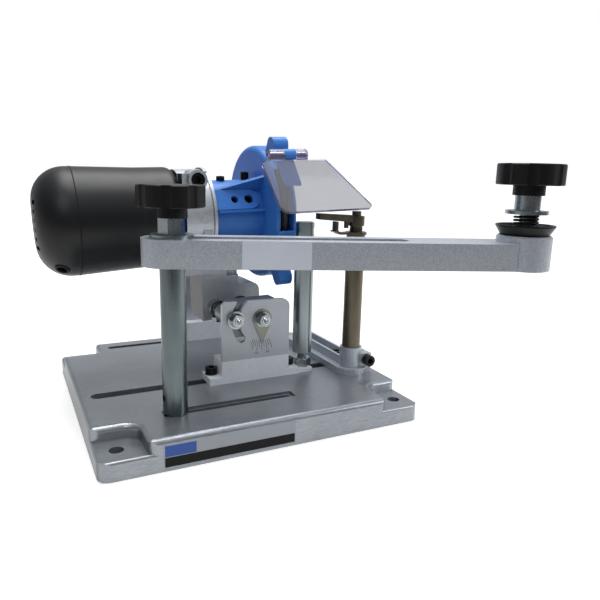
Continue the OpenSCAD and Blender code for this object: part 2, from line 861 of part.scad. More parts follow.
module carrier_casting() {
    back = carrier_y + carrier_depth;
    color("silver") in_head() difference() {
        union() {
            front_outline(carrier_y, back) carrier_outline();
            translate([bracket_x + 28.5, carrier_y + 3, carrier_z + carrier_h - 1]) cube([6, carrier_depth - 3, 23]);
            translate([ring_left, axis_y - 20, carrier_z + carrier_h + 12])
                cube([ring_w, 40, axis_z - carrier_z - carrier_h - 22]);
            translate([0, axis_y, axis_z]) {
                along_x(ring_r, ring_left, ring_right);
                along_x(ring_r + 1.2, ring_right - 2.5, ring_right);
            }
            translate([(ring_left + ring_right) / 2, 0, axis_z + clamp_boss_z])
                along_y(clamp_boss_r, -4, axis_y + 2);
            translate([ring_left, -2, axis_z + clamp_boss_z - clamp_boss_r])
                cube([ring_w / 2, axis_y - 4, 2 * clamp_boss_r - 3]);
            translate([-15.6, 0, axis_z]) along_y(3.6, axis_y - ring_r - 0.5, axis_y - ring_r + 4);
            translate([-17.7, axis_y - ring_r + 0.6, axis_z - 16.2]) cube([7.8, 6, 6.9]);
        }
        translate([0, axis_y, axis_z]) along_x(nose_r + play, ring_left - 1, ring_right + 1);
        translate([ring_left - 1, axis_y - 19, axis_z + 18]) cube([ring_w + 2, 3, 30]);
        translate([(ring_left + ring_right) / 2, 0, axis_z + clamp_boss_z]) {
            along_y(5.9, -5, 3.5);
            along_y(m6 / 2 + seat, -5, axis_y - 2);
        }
        translate([pivot_x, 0, pivot_z]) along_y(shaft_d / 2 + 2, carrier_y - 1, back + 1);
        translate([guide_x, 0, guide_z]) along_y(guide_d / 2 + 2, carrier_y - 1, back + 1);
        translate([13.5, carrier_y, 106]) cylinder(r = 5.2, h = 40);
    }
}

module shaft_bushes() {
    color("goldenrod") at_pivot() for (y = [carrier_y, carrier_y + carrier_depth - 12])
        ring_along_y(y, 12, shaft_d + 3.9, shaft_d + 2 * play);
}

module guide_bush() {
    color("lightgray") at_guide() difference() {
        union() {
            along_y(guide_d / 2 + 1.95, carrier_y, carrier_y + carrier_depth);
            along_y(7.5, carrier_y - flange_w, carrier_y);
        }
        along_y(guide_d / 2 + play, carrier_y - 10, carrier_y + carrier_depth + 1);
        translate([0, carrier_y - flange_w / 2, 0]) upright(4 + 2 * seat, -10, 0);
    }
}

module slide_lock_screw() {
    color("silver") at_guide() translate([0, carrier_y - flange_w / 2, 0]) {
        upright(4, -8.5, -guide_d / 2 - 0.3);
        translate([0, 0, -12]) hexagon(9, 4);
    }
}

module ring_clamp_screw() {
    color([0.1, 0.1, 0.1]) in_head()
        translate([(ring_left + ring_right) / 2, 3.5, axis_z + clamp_boss_z])
            rotate([90, 0, 0]) cap_screw(m6, 11.2, 6, axis_y - 7);
}

module on_axis() {
    in_head() translate([0, axis_y, axis_z]) children();
}

module motor_housing() {
    shoulder_x = motor_front - shoulder_r;
    color([0.2, 0.2, 0.22]) on_axis() spun_x() difference() {
        union() {
            polygon([[0, cap_seam], [motor_rear_r, cap_seam], [motor_r, cap_seam + 50], [motor_r, shoulder_x],
                [0, shoulder_x]]);
            translate([motor_r - shoulder_r, shoulder_x]) circle(shoulder_r);
            translate([0, shoulder_x]) square([motor_r - shoulder_r, shoulder_r]);
            translate([0, shoulder_x]) square([nose_r, ring_right - shoulder_x]);
        }
        translate([-1, cap_seam - 1]) square([motor_r - motor_wall, shoulder_x - cap_seam - 3]);
        translate([-1, ring_right - bearing_w]) square([bearing_r + 1, bearing_w + 1]);
        translate([-1, cap_seam]) square([spindle_d / 2 + 4, 120]);
    }
}

module cap_profile(wall) {
    centre = [motor_rear_r - cap_round, cap_end + cap_round];
    intersection() {
        union() {
            translate(centre) circle(cap_round - wall);
            translate([0, cap_end + wall]) square([centre[0], cap_round]);
            translate([0, centre[1]]) square([motor_rear_r - wall, cap_seam - centre[1] + wall]);
        }
        translate([0, cap_end]) square([motor_rear_r, cap_depth + wall]);
    }
}

module motor_cap() {
    pitch = 7;
    color([0.14, 0.14, 0.15]) on_axis() difference() {
        union() {
            spun_x() difference() {
                cap_profile(0);
                cap_profile(motor_wall);
                translate([-1, cap_seam]) square([60, 20]);
            }
            spun_x() translate([rear_bearing_r + seat, cap_end + 1]) square([3, rear_bearing_w + 7]);
        }
        for (i = [0 : vents - 1])
            translate([cap_end - 1, -20, (i - (vents - 1) / 2) * pitch - 1.6]) cube([motor_wall + 3, 9, 3.2]);
        for (i = [0 : vents - 1])
            translate([cap_end - 1, 12, (i - (vents - 1) / 2) * pitch - 1.6]) cube([motor_wall + 3, 9, 3.2]);
        rotate([145, 0, 0]) translate([cap_seam - 14, 0, 20]) cylinder(d = inlet_d, h = 30);
    }
}

module stator() {
    outer = motor_r - motor_wall - 1;
    color("gray") on_axis() spun_x() {
        translate([stator_in, core_x[0]]) square([outer - stator_in - seat, core_x[1] - core_x[0]]);
        for (x = core_x) translate([(outer + stator_in) / 2, x]) circle((outer - stator_in) / 2 - 1);
    }
}

module ball_bearing(outer, inner, x0, w) {
    on_axis() spun_x() translate([inner, x0]) square([outer - inner, w]);
}

module bearings() {
    color("lightgray") {
        ball_bearing(bearing_r - seat, spindle_d / 2 + play, ring_right - bearing_w, bearing_w);
        ball_bearing(rear_bearing_r, spindle_d / 2 + play, cap_end + 8, rear_bearing_w);
    }
}

module rotor_core() {
    color("silver") on_axis() spun_x()
        translate([spindle_d / 2 + seat, core_x[0]]) square([core_r - spindle_d / 2, core_x[1] - core_x[0]]);
}

module motor_shaft() {
    color("lightgray") on_axis() {
        along_x(spindle_d / 2, spindle_end, cover_x - 1);
        along_x(spindle_d / 2 + 2, ring_right + gap, wheel_x - 3.8);
    }
}

module cooling_fan() {
    blades = 9;
    color("dimgray") on_axis() {
        difference() {
            union() {
                along_x(11, fan_x, fan_x + 12);
                along_x(34, fan_x, fan_x + 1.6);
                for (i = [0 : blades - 1]) rotate([i * 360 / blades, 0, 0])
                    translate([fan_x, 9, -0.8]) cube([11, 24, 1.6]);
            }
            along_x(spindle_d / 2 + seat, fan_x - 1, fan_x + 13);
        }
    }
}

module wheel_flange() {
    color("lightgray") on_axis() spun_x()
        translate([spindle_d / 2 + seat, wheel_x - 3.8]) square([8, 5.3]);
}

module flange_nut() {
    color("gray") on_axis() difference() {
        along_x(14, wheel_x + 4, cover_x - 0.8);
        along_x(spindle_d / 2 + seat, wheel_x, cover_x);
        for (a = [0, 180]) rotate([a, 0, 0]) translate([0, 10, 0]) along_x(1.6, wheel_x + 5.5, cover_x);
    }
}

module grinding_wheel() {
    color([0.25, 0.25, 0.26]) on_axis() spun_x() difference() {
        union() {
            translate([spindle_d / 2 + seat, wheel_x + 1.5]) square([wheel_r - rim_band, 2.5]);
            translate([wheel_r - rim_band, wheel_x]) square([rim_band - 0.8, wheel_w]);
            translate([wheel_r - rim_band, wheel_x + 0.8]) square([rim_band, wheel_w - 1.6]);
        }
    }
}

// The guard: a ribbed neck, a round shell that is open at the mouth, and screw lugs
module pillar_outline() {
    for (a = pillar_angles) rotate(a) {
        translate([pillar_reach, 0]) circle(pillar_r);
        translate([guard_r - 7, -pillar_r]) square([pillar_reach - guard_r + 7, 2 * pillar_r]);
    }
}

// Half the section of the shell, or of the room inside it
module shell_profile(wall, x1) {
    core = guard_r - guard_round;
    translate([0, guard_x + wall]) square([core, x1 - guard_x - wall]);
    translate([core, guard_x + guard_round]) circle(guard_round - wall);
    translate([0, guard_x + guard_round]) square([guard_r - wall, x1 - guard_x - guard_round]);
}

module mouth_cut() {
    translate([guard_x + guard_wall + 0.4, -90, mouth_z[0]])
        cube([guard_w, 90 + mouth_edge, mouth_z[1] - mouth_z[0]]);
}

module neck_rib(angle, x0, x1, low, high, t) {
    rotate([angle, 0, 0]) translate([0, 0, -t / 2]) linear_extrude(t)
        polygon([[x0, neck_r - 2], [x1, neck_r - 2], [x1, high], [x0, low]]);
}

// The shield's hinge stands on a web, and a tab hangs from it behind the shield
module guard_visor() {
    hy = hinge_y - axis_y;
    hz = hinge_z - axis_z;
    tab_step = hinge_x[2] + 0.4;
    side_outline(tab_step + 0.4, cover_x)
        polygon([[-41.5, 41.5], [-45, 38.3], [hy + 3, hz - 2.5], [hy + 3, hz + 3.6]]);
    translate([0, hy, hz]) {
        along_x(knuckle_r, hinge_x[2], hinge_x[3]);
        rotate([-shield_slant, 0, 0]) front_outline(visor_y, visor_y + visor_t) polygon([
            [guard_x, -5.6], [tab_step, -5.6], [tab_step, -1], [cover_x, -1],
            [cover_x, -visor_len], [guard_x, -visor_len]
        ]);
    }
}

module guard_shell() {
    hy = hinge_y - axis_y;
    hz = hinge_z - axis_z;
    color([0.15, 0.28, 0.58]) on_axis() difference() {
        union() {
            difference() {
                union() {
                    spun_x() shell_profile(0, cover_x);
                    side_outline(guard_x + guard_round + 0.7, cover_x) pillar_outline();
                }
                spun_x() shell_profile(guard_wall, cover_x + 1);
                mouth_cut();
            }
            along_x(neck_r, ring_right, guard_x + 1);
            neck_rib(134, ring_right + 4, guard_x + 1, neck_r + 1, neck_r + 17, 2.4);
            neck_rib(172, ring_right + 4, guard_x + 1, neck_r + 4, neck_r + 4, 2.4);
            neck_rib(20, ring_right + 4, guard_x + 1, neck_r + 1, neck_r + 17, 2.4);
            rotate([153, 0, 0]) {
                translate([ring_right + 2, 20, -9]) cube([neck_len - 14, neck_r - 18.5, 18]);
                translate([guard_x - 12, 20, 0]) rotate([-90, 0, 0]) cylinder(r = 9, h = neck_r - 18.5);
            }
            side_outline(guard_x, cover_x) polygon([[-54.8, -16.8], [-61, -13.5], [-61, -11.5], [-54.9, -12.6]]);
            guard_visor();
        }
        along_x(neck_r - guard_wall, ring_right - 1, guard_x + guard_wall + 1);
        rotate([153, 0, 0]) {
            translate([ring_right + 20, 0, 0]) rotate([-90, 0, 0]) cylinder(d = 6.4, h = 60);
            translate([ring_right + 33, 0, 0]) rotate([-90, 0, 0]) cylinder(d = 8, h = 60);
        }
        for (a = pillar_angles) rotate([a, 0, 0]) translate([0, pillar_reach, 0]) along_x(2.1, guard_x + 7, cover_x + 1);
        translate([0, hy, hz]) along_x(pin_d / 2, hinge_x[2] - 1, hinge_x[3] + 1);
        for (p = neck_screw_places) rotate([p[1], 0, 0]) translate([p[0], 0, 0])
            rotate([-90, 0, 0]) cylinder(d = 4, h = 40);
    }
}

module neck_screws() {
    color([0.1, 0.1, 0.1]) on_axis() for (p = neck_screw_places)
        rotate([p[1], 0, 0]) translate([p[0], neck_r + 0.2, 0]) rotate([-90, 0, 0])
            cap_screw(3.9, 7.5, p[2], guard_wall + 1);
}

module guard_cover() {
    color([0.15, 0.28, 0.58]) on_axis() difference() {
        union() {
            along_x(guard_r, cover_x, cover_x + cover_t);
            side_outline(cover_x, cover_x + cover_t) pillar_outline();
            for (i = [0, 1]) rotate([pillar_angles[i], 0, 0]) translate([0, pillar_reach, 0])
                along_x(pillar_r, cover_x, cover_x + lug_ends[i]);
            along_x(20, cover_x, cover_x + cover_t + 1);
            for (a = [-60 : 40 : 100]) rotate([a, 0, 0])
                translate([cover_x + cover_t - 0.1, 16, -1]) cube([0.9, 38, 2]);
        }
        for (i = [0, 1]) rotate([pillar_angles[i], 0, 0]) translate([0, pillar_reach, 0]) {
            along_x(2.1, cover_x - 1, cover_x + 6);
            along_x(4, cover_x + lug_ends[i] - 2, cover_x + 6);
        }
    }
}

module guard_screws() {
    color([0.1, 0.1, 0.1]) on_axis() for (i = [0, 1])
        rotate([pillar_angles[i], 0, 0]) translate([cover_x + lug_ends[i] - 2, pillar_reach, 0])
            rotate([0, 90, 0]) cap_screw(4, 7.4, 1.9, guard_w - 8);
}

// The shield hangs from its hinge and leans forward
module in_shield() {
    in_head() translate([0, hinge_y, hinge_z]) rotate([-shield_slant, 0, 0]) children();
}

module shield() {
    top = knuckle_r + 0.8;
    len = shield_len;
    color([0.8, 0.82, 0.88, 0.5]) in_shield() difference() {
        union() {
            front_outline(-shield_t / 2, shield_t / 2) polygon([
                [25.6, -top - 3], [31, -top], [84.5, -top], [113, -len + 3.5], [112.5, -len + 1],
                [110.5, -len], [36, -len], [32.5, -len + 1], [29, -len + 5]
            ]);
            for (x = [[hinge_x[0], hinge_x[1]], [hinge_x[4], hinge_x[5]]]) {
                along_x(knuckle_r, x[0], x[1]);
                translate([x[0], -shield_t / 2, -top - 1]) cube([x[1] - x[0], shield_t, top + 1]);
            }
        }
        along_x(pin_d / 2 + play, hinge_x[0] - 1, hinge_x[5] + 1);
    }
}

module shield_pin() {
    color("silver") in_head() translate([0, hinge_y, hinge_z])
        along_x(pin_d / 2, hinge_x[0] + 0.5, hinge_x[5] - 0.5);
}

module at_rest() {
    translate([rest_x, middle_slot_y, 0]) children();
}

module rest_post() {
    color("lightgray") at_rest() difference() {
        union() {
            upright(rest_d, rest_low, rest_top - 0.8);
            upright(rest_d - 1.6, rest_top - 1, rest_top);
        }
        upright(rest_stud_d, rest_low - 1, rest_low + 15);
        translate([0, 0, rest_top - 7.5]) rotate([0, 0, -30]) along_x(3.2, -20, 20);
    }
}

module rest_stud() {
    color("silver") at_rest() upright(rest_stud_d - 2 * seat, plate_low - tnut_h - 2, rest_low + 14.5);
}

module rest_nut() {
    color("silver") at_rest() translate([0, 0, rest_nut_z]) difference() {
        hexagon(rest_stud_d + 5, rest_nut_h);
        translate([0, 0, -1]) cylinder(d = rest_stud_d + 2 * play, h = rest_nut_h + 2);
    }
}

module rest_plate() {
    color("silver") at_rest() difference() {
        translate([-8.7, -11.4, base_h]) cube([14, 24.4, rest_plate_t]);
        upright(rest_stud_d + 2 * play, base_h - 1, rest_nut_z + 1);
    }
}

module rest_tnut() {
    color("gray") tnut(rest_x, middle_slot_y, rest_stud_d + 2 * play, small_tnut);
}

module at_stop() {
    translate([stop_x, stop_y, 0]) children();
}

// The link: a flat flange with rounded ends, a raised channel, a split boss and its ear
module stop_link() {
    color("silver") at_stop() difference() {
        union() {
            translate([0, 0, base_h]) linear_extrude(link_t) {
                translate([-link_w / 2, 0]) square([link_w, link_len]);
                circle(d = link_w);
                translate([0, link_len]) circle(d = link_w);
            }
            translate([0, 0, base_h]) linear_extrude(link_wall_h) {
                translate([-link_wall_w / 2, 0]) square([link_wall_w, link_len]);
                translate([0, link_len]) circle(d = link_wall_w);
            }
            upright(stop_d + 3.6, base_h, base_h + link_boss_h);
            translate([4, -9.5, base_h]) cube([ear_x + 0.5, 17, 18]);
        }
        upright(stop_d + 2 * play, base_h + 3, base_h + link_boss_h + 1);
        translate([0, 0, link_top]) linear_extrude(link_wall_h) {
            translate([-channel_w / 2, 11.5]) square([channel_w, link_len - 11.5]);
            translate([0, link_len]) circle(d = channel_w);
        }
        translate([0, 0, base_h - 1]) linear_extrude(link_t + 2) rotate(90) slot_outline(14.5, link_len - 2, link_slot_w);
        translate([0, -1.2, base_h + 4]) cube([20, 2, link_boss_h]);
        translate([ear_x, 0, base_h + 12.3]) along_y(m6 / 2 + seat, -10, 6);
    }
}

module stop_clamp_screw() {
    color([0.1, 0.1, 0.1]) at_stop() translate([ear_x, -9.5, base_h + 12.3])
        rotate([90, 0, 0]) cap_screw(m6, m6_head, m6_head_h, 14);
}

module link_screw() {
    len = link_t + base_top + tnut_h - 1;
    color([0.1, 0.1, 0.1]) translate([stop_x, middle_slot_y, link_top])
        cap_screw(m6, m6_head, m6_head_h, len);
}

module link_tnut() {
    color("gray") tnut(stop_x, middle_slot_y, m6 + 2 * seat);
}

// A strip on the rod's shoulder, bent upwards at its end
module hook_outline() {
    bend_x = -17;
    bend_r = 4.5;
    t = 2;
    difference() {
        union() {
            translate([bend_x, stop_top]) square([-bend_x, t]);
            translate([bend_x - bend_r, stop_top + bend_r]) square([t, 6.5]);
            translate([bend_x, stop_top + bend_r]) circle(bend_r);
        }
        translate([bend_x, stop_top + bend_r]) circle(bend_r - t);
        translate([bend_x, stop_top + t]) square([8, 10]);
        translate([bend_x - bend_r + t, stop_top + bend_r]) square([8, 8]);
    }
}

module stop_rod() {
    color([0.35, 0.3, 0.22]) at_stop() {
        upright(stop_d, base_h + 8, stop_top);
        upright(18.6, stop_top - 0.5, stop_top + 2);
        upright(10.8, stop_top + 1, finger_z);
        upright(8, finger_z - 1, stop_top + 19.5);
        front_outline(-3.5, 3.5) hook_outline();
        translate([0, 0, stop_top + 3.2]) along_x(0.8, -24.8, -20);
    }
}

module stop_finger() {
    hub_top = finger_z + 8.5;
    color([0.3, 0.27, 0.2]) at_stop() difference() {
        union() {
            upright(14, finger_z + gap, hub_top);
            front_outline(-4, 4) polygon([
                [-finger_len, hub_top - 2.4], [-6.3, hub_top - 5], [-4.3, hub_top - 5],
                [-4.3, hub_top + 0.8], [-finger_len, hub_top + 2.6]
            ]);
            translate([-10, 0, 0]) upright(4, hub_top - 10.1, hub_top - 4);
        }
        upright(8 + 2 * play, finger_z - 1, hub_top + 1);
    }
}

base_plate();
column_post();
column_stud();
column_screw();
column_washer();
column_grub();
arm_bush();
swing_arm();
blade_stud();
arm_nut();
arm_knob();
centring_cone();
clamp_spring();
clamp_washer();
clamp_sleeve();
clamp_knob();
front_block();
front_plate();
rear_block();
rear_plate();
bracket_screws();
bracket_tnuts();
tilt_block();
main_shaft();
guide_rod();
tilt_nuts();
tilt_washers();
pointer();
carrier_casting();
shaft_bushes();
guide_bush();
slide_lock_screw();
ring_clamp_screw();
motor_housing();
motor_cap();
stator();
bearings();
rotor_core();
motor_shaft();
cooling_fan();
wheel_flange();
flange_nut();
grinding_wheel();
guard_shell();
guard_cover();
guard_screws();
neck_screws();
shield();
shield_pin();
rest_post();
rest_stud();
rest_nut();
rest_plate();
rest_tnut();
stop_link();
stop_clamp_screw();
link_screw();
link_tnut();
stop_rod();
stop_finger();
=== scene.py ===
# %% [markdown]
# # A bench sharpener for circular saw blades
# The machine comes in as a fixed frame of CAD pieces, already in place and already jointed.
# This lesson dresses them: it aims the camera, lights the table, gives every piece the finish
# of the real material and adds the small pieces that a CAD model leaves out.

# %% Load the frame
import json
import math

import bpy
from mathutils import Matrix, Vector


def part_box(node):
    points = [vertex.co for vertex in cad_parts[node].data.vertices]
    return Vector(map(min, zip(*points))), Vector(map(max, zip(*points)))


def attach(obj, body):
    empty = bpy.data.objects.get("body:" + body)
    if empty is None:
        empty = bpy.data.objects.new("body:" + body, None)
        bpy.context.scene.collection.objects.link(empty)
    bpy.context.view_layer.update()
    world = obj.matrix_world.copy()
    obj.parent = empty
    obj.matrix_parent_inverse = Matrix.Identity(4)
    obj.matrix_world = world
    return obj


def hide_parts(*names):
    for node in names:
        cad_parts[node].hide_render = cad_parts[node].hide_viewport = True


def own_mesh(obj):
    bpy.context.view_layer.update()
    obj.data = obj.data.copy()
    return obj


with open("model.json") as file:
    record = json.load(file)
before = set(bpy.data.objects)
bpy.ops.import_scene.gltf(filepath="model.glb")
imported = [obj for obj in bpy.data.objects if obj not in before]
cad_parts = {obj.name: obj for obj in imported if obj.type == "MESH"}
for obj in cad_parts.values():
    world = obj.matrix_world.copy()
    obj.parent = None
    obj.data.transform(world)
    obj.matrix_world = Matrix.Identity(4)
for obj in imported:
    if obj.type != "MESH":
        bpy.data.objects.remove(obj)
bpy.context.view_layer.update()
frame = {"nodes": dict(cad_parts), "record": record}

# %% [markdown]
# ## The camera
# A camera is a place, a direction and a focal length. These were worked out from the square
# corners of the base and from the upright rods, so the same view is taken here.
# The rotation is written as three axes (right, up, back), because that can't be misread the
# way that three angles can.

# %% Aim the camera
MM = 0.001
CAMERA_AT = Vector((-169.05, -475.9, 197.1)) * MM
YAW, PITCH, ROLL = (math.radians(a) for a in (27.16, 12.3, 1.45))
LENS_MM = 34.97
SENSOR_MM = 36
NEAREST_SEEN = 0.01

forward = Vector((math.sin(YAW) * math.cos(PITCH), math.cos(YAW) * math.cos(PITCH), -math.sin(PITCH)))
right = Vector((math.cos(YAW), -math.sin(YAW), 0))
up = right.cross(forward)
right_rolled = math.cos(ROLL) * right + math.sin(ROLL) * up
up_rolled = -math.sin(ROLL) * right + math.cos(ROLL) * up

camera_data = bpy.data.cameras.new("bench_camera")
camera_data.lens = LENS_MM
camera_data.sensor_width = SENSOR_MM
camera_data.clip_start = NEAREST_SEEN
camera = bpy.data.objects.new("bench_camera", camera_data)
bpy.context.scene.collection.objects.link(camera)
camera.matrix_world = Matrix.Translation(CAMERA_AT) @ Matrix(
    (right_rolled, up_rolled, -forward)).transposed().to_4x4()
bpy.context.scene.camera = camera
print("camera at", tuple(round(v, 3) for v in CAMERA_AT))

# %% [markdown]
# ## Helpers for colours and nodes
# A colour picked on screen is sRGB, while a shader works in linear light, so one function
# turns a hex value into linear numbers. Another adds a node with its settings, values and
# links in one line. Sums and changes of range are so common in a material that each has its
# own short function.

# %% Helpers for materials
def colour(hex_value):
    """A linear colour from an sRGB hex value such as "A9ADB2"."""
    parts = [int(hex_value[i:i + 2], 16) / 255 for i in (0, 2, 4)]
    return [p / 12.92 if p <= 0.04045 else ((p + 0.055) / 1.055) ** 2.4 for p in parts] + [1.0]


def add(tree, kind, values=None, links=None, **settings):
    """Adds a node. values sets sockets, links joins sockets and settings sets the node's options."""
    made = tree.nodes.new(kind)
    for name, value in settings.items():
        setattr(made, name, value)
    for socket, value in (values or {}).items():
        made.inputs[socket].default_value = value
    for socket, source in (links or {}).items():
        tree.links.new(source, made.inputs[socket])
    return made


def reckon(tree, operation, *terms):
    """The result of one sum. Each term is a number or a socket."""
    made = add(tree, "ShaderNodeMath", operation=operation)
    for socket, term in zip(made.inputs, terms):
        if isinstance(term, bpy.types.NodeSocket):
            tree.links.new(term, socket)
        else:
            socket.default_value = term
    return made.outputs[0]


def remap(tree, source, span, to_span=(0.0, 1.0)):
    """Takes a socket's values from one span to another, and holds what lies outside at its ends."""
    values = {"From Min": span[0], "From Max": span[1], "To Min": to_span[0], "To Max": to_span[1]}
    return add(tree, "ShaderNodeMapRange", values=values, links={"Value": source}).outputs[0]


print("mid grey in linear light:", round(colour("808080")[0], 3))

# %% [markdown]
# ## Light and background
# A product photograph is taken on a pale sweep under one large lamp overhead, with the dark
# room behind the photographer. Painted metal needs that contrast: its top faces are bright
# and its front faces are grey. The room is dimmer on the left, which keeps the left sides
# dark. The camera sees plain white, the clear shield sees it as the pale grey that paper is
# behind a window, and the lamps stay at a level at which a colour renders about as written.

# %% The world and the lamps
ROOM_LOW = (0.34, 0.35, 0.37, 1)
ROOM_HIGH = (1.0, 1.0, 1.0, 1)
MIRRORED_ROOM = 0.13
MIRRORED_SWEEP = 0.48
MIRRORED_CEILING = 0.80
DIM_LEFT = 0.45
THROUGH_CLEAR = 0.55
SOFT_LIGHT = 0.56
# Each span says between which directions a change takes place, from -1 to 1 along an axis.
FLOOR_TO_CEILING = (-0.1, 0.9)
LEFT_TO_RIGHT = (-0.7, 0.4)
BEHIND_THE_TABLE = (0.05, 0.85)
UNDER_THE_CEILING = (0.30, 0.95)
RIGHT_SIDE = 1.05

world = bpy.data.worlds.new("studio")
bpy.context.scene.world = world
world.use_nodes = True
tree = world.node_tree
tree.nodes.clear()
direction = add(tree, "ShaderNodeTexCoord").outputs["Generated"]
axes = add(tree, "ShaderNodeSeparateXYZ", links={0: direction}).outputs
side = remap(tree, axes["X"], LEFT_TO_RIGHT, (DIM_LEFT, RIGHT_SIDE))
room = add(tree, "ShaderNodeValToRGB", links={"Fac": remap(tree, axes["Z"], FLOOR_TO_CEILING)})
room.color_ramp.elements[0].color = ROOM_LOW
room.color_ramp.elements[1].color = ROOM_HIGH
soft = add(tree, "ShaderNodeBackground",
           links={"Color": room.outputs["Color"], "Strength": reckon(tree, "MULTIPLY", side, SOFT_LIGHT)})
rays = add(tree, "ShaderNodeLightPath").outputs
paper_white = reckon(tree, "MULTIPLY_ADD", rays["Is Transmission Ray"], THROUGH_CLEAR - 1, 1.0)
white = add(tree, "ShaderNodeBackground", values={"Color": (1, 1, 1, 1)}, links={"Strength": paper_white})
behind = remap(tree, axes["Y"], BEHIND_THE_TABLE, (0.0, MIRRORED_SWEEP))
above = remap(tree, axes["Z"], UNDER_THE_CEILING, (0.0, MIRRORED_CEILING))
dimmed = reckon(tree, "MULTIPLY", reckon(tree, "MAXIMUM", behind, above), side)
glossy_room = add(tree, "ShaderNodeBackground", values={"Color": (0.94, 0.96, 1, 1)},
                  links={"Strength": reckon(tree, "ADD", dimmed, MIRRORED_ROOM)})
seen = reckon(tree, "MAXIMUM", rays["Is Camera Ray"], rays["Is Transmission Ray"])
mirrored = add(tree, "ShaderNodeMixShader",
               links={0: rays["Is Glossy Ray"], 1: soft.outputs[0], 2: glossy_room.outputs[0]})
shown = add(tree, "ShaderNodeMixShader", links={0: seen, 1: mirrored.outputs[0], 2: white.outputs[0]})
add(tree, "ShaderNodeOutputWorld", links={"Surface": shown.outputs[0]})


def lamp(name, at, aim, size, watts):
    """A square area lamp at a place, aimed at a point, both in millimetres."""
    data = bpy.data.lights.new(name, "AREA")
    data.shape = "SQUARE"
    data.size = size * MM
    data.energy = watts
    made = bpy.data.objects.new(name, data)
    bpy.context.scene.collection.objects.link(made)
    made.location = Vector(at) * MM
    made.rotation_euler = (Vector(at) - Vector(aim)).to_track_quat("Z", "Y").to_euler()
    return made


lamp("overhead_softbox", (60, 160, 1100), (20, 0, 80), 800, 10.5)
lamp("left_softbox", (-500, -700, 900), (0, 0, 100), 500, 1.8)
lamp("right_softbox", (800, -650, 550), (0, 0, 100), 400, 3.0)
bpy.context.scene.view_settings.view_transform = "Standard"

# %% [markdown]
# ## The floor
# The floor is a sheet of white paper that runs far back and to both sides, but ends half a
# metre in front of the machine, as it does on a real table. Metal mirrors that: low faces
# show the paper, and high ones show the dim room beyond its front edge. A glow brings the
# paper up to white, so that only the contact shadow round the base still shows. The glow
# leaves out the patch that the base covers, where a real sheet lies in the dark.

# %% Lay the floor
bpy.ops.object.select_all(action="DESELECT")
SHEET_FRONT = -0.52
SHEET_WIDE = 30
SHEET_SUNK = 0.0004
UNDER_BASE = (127, 120)
SOFT_EDGE = 6
# Distances and places in metres between which the glow changes, and its strength at both ends.
FAR_SPAN, FAR_GLOW = (0.20, 0.65), (0.66, 1.0)
LEFT_SPAN, LEFT_GLOW = (-0.45, -0.12), (0.35, 0.85)
bpy.ops.mesh.primitive_plane_add(size=SHEET_WIDE, location=(0, SHEET_FRONT + SHEET_WIDE / 2, -SHEET_SUNK))
floor = bpy.context.object
floor.name = "paper_floor"
bpy.ops.object.transform_apply(location=True, rotation=False, scale=False)
paper = bpy.data.materials.new("white_paper_sweep")
paper.use_nodes = True
tree = paper.node_tree
tree.nodes.clear()
sheet = add(tree, "ShaderNodeBsdfDiffuse", values={"Color": colour("C8C8C8")})
spot = add(tree, "ShaderNodeTexCoord").outputs["Object"]
axes = add(tree, "ShaderNodeSeparateXYZ", links={0: spot}).outputs
away = add(tree, "ShaderNodeVectorMath", operation="LENGTH", links={0: spot}).outputs["Value"]
far = remap(tree, away, FAR_SPAN, FAR_GLOW)
inside = [remap(tree, reckon(tree, "ABSOLUTE", axes[axis]), ((half - SOFT_EDGE) * MM, half * MM))
          for axis, half in zip("XY", UNDER_BASE)]
strength = reckon(tree, "MULTIPLY", far, reckon(tree, "MAXIMUM", *inside))
left = remap(tree, axes["X"], LEFT_SPAN, LEFT_GLOW)
rays = add(tree, "ShaderNodeLightPath").outputs
to_mirror = add(tree, "ShaderNodeMix", values={"A": 1.0}, links={"Factor": rays["Is Glossy Ray"], "B": left})
to_clear = reckon(tree, "MULTIPLY_ADD", rays["Is Transmission Ray"], THROUGH_CLEAR - 1, 1.0)
mirrored_glow = reckon(tree, "MULTIPLY", strength, to_mirror.outputs[0])
glow = add(tree, "ShaderNodeEmission", values={"Color": (1, 1, 1, 1)},
           links={"Strength": reckon(tree, "MULTIPLY", mirrored_glow, to_clear)})
lit = add(tree, "ShaderNodeAddShader", links={0: sheet.outputs[0], 1: glow.outputs[0]})
direct = reckon(tree, "MAXIMUM", rays["Is Camera Ray"], rays["Is Transmission Ray"])
seen = reckon(tree, "MAXIMUM", direct, rays["Is Glossy Ray"])
shown = add(tree, "ShaderNodeMixShader", links={0: seen, 1: sheet.outputs[0], 2: lit.outputs[0]})
add(tree, "ShaderNodeOutputMaterial", links={"Surface": shown.outputs[0]})
floor.data.materials.append(paper)

# %% [markdown]
# ## Finishes that are sprayed, plated or turned
# Most of this machine is metal. What tells one metal from another is the size of its grain,
# the way it was worked and how sharply it mirrors. One function lays down the layers that
# they share: a slow drift of tone over some centimetres, clouds of a few millimetres, a fine
# grain, and a bump from that grain. Each finish below calls it with its own numbers. Where the room still
# leaves a casting's left flank too bright, a painted shade darkens the colour of the faces that look to the
# left.

# %% The layers that every finish shares
DRIFT_MM = 35
LEFT_SHADE_FACING = (-0.97, -0.80)


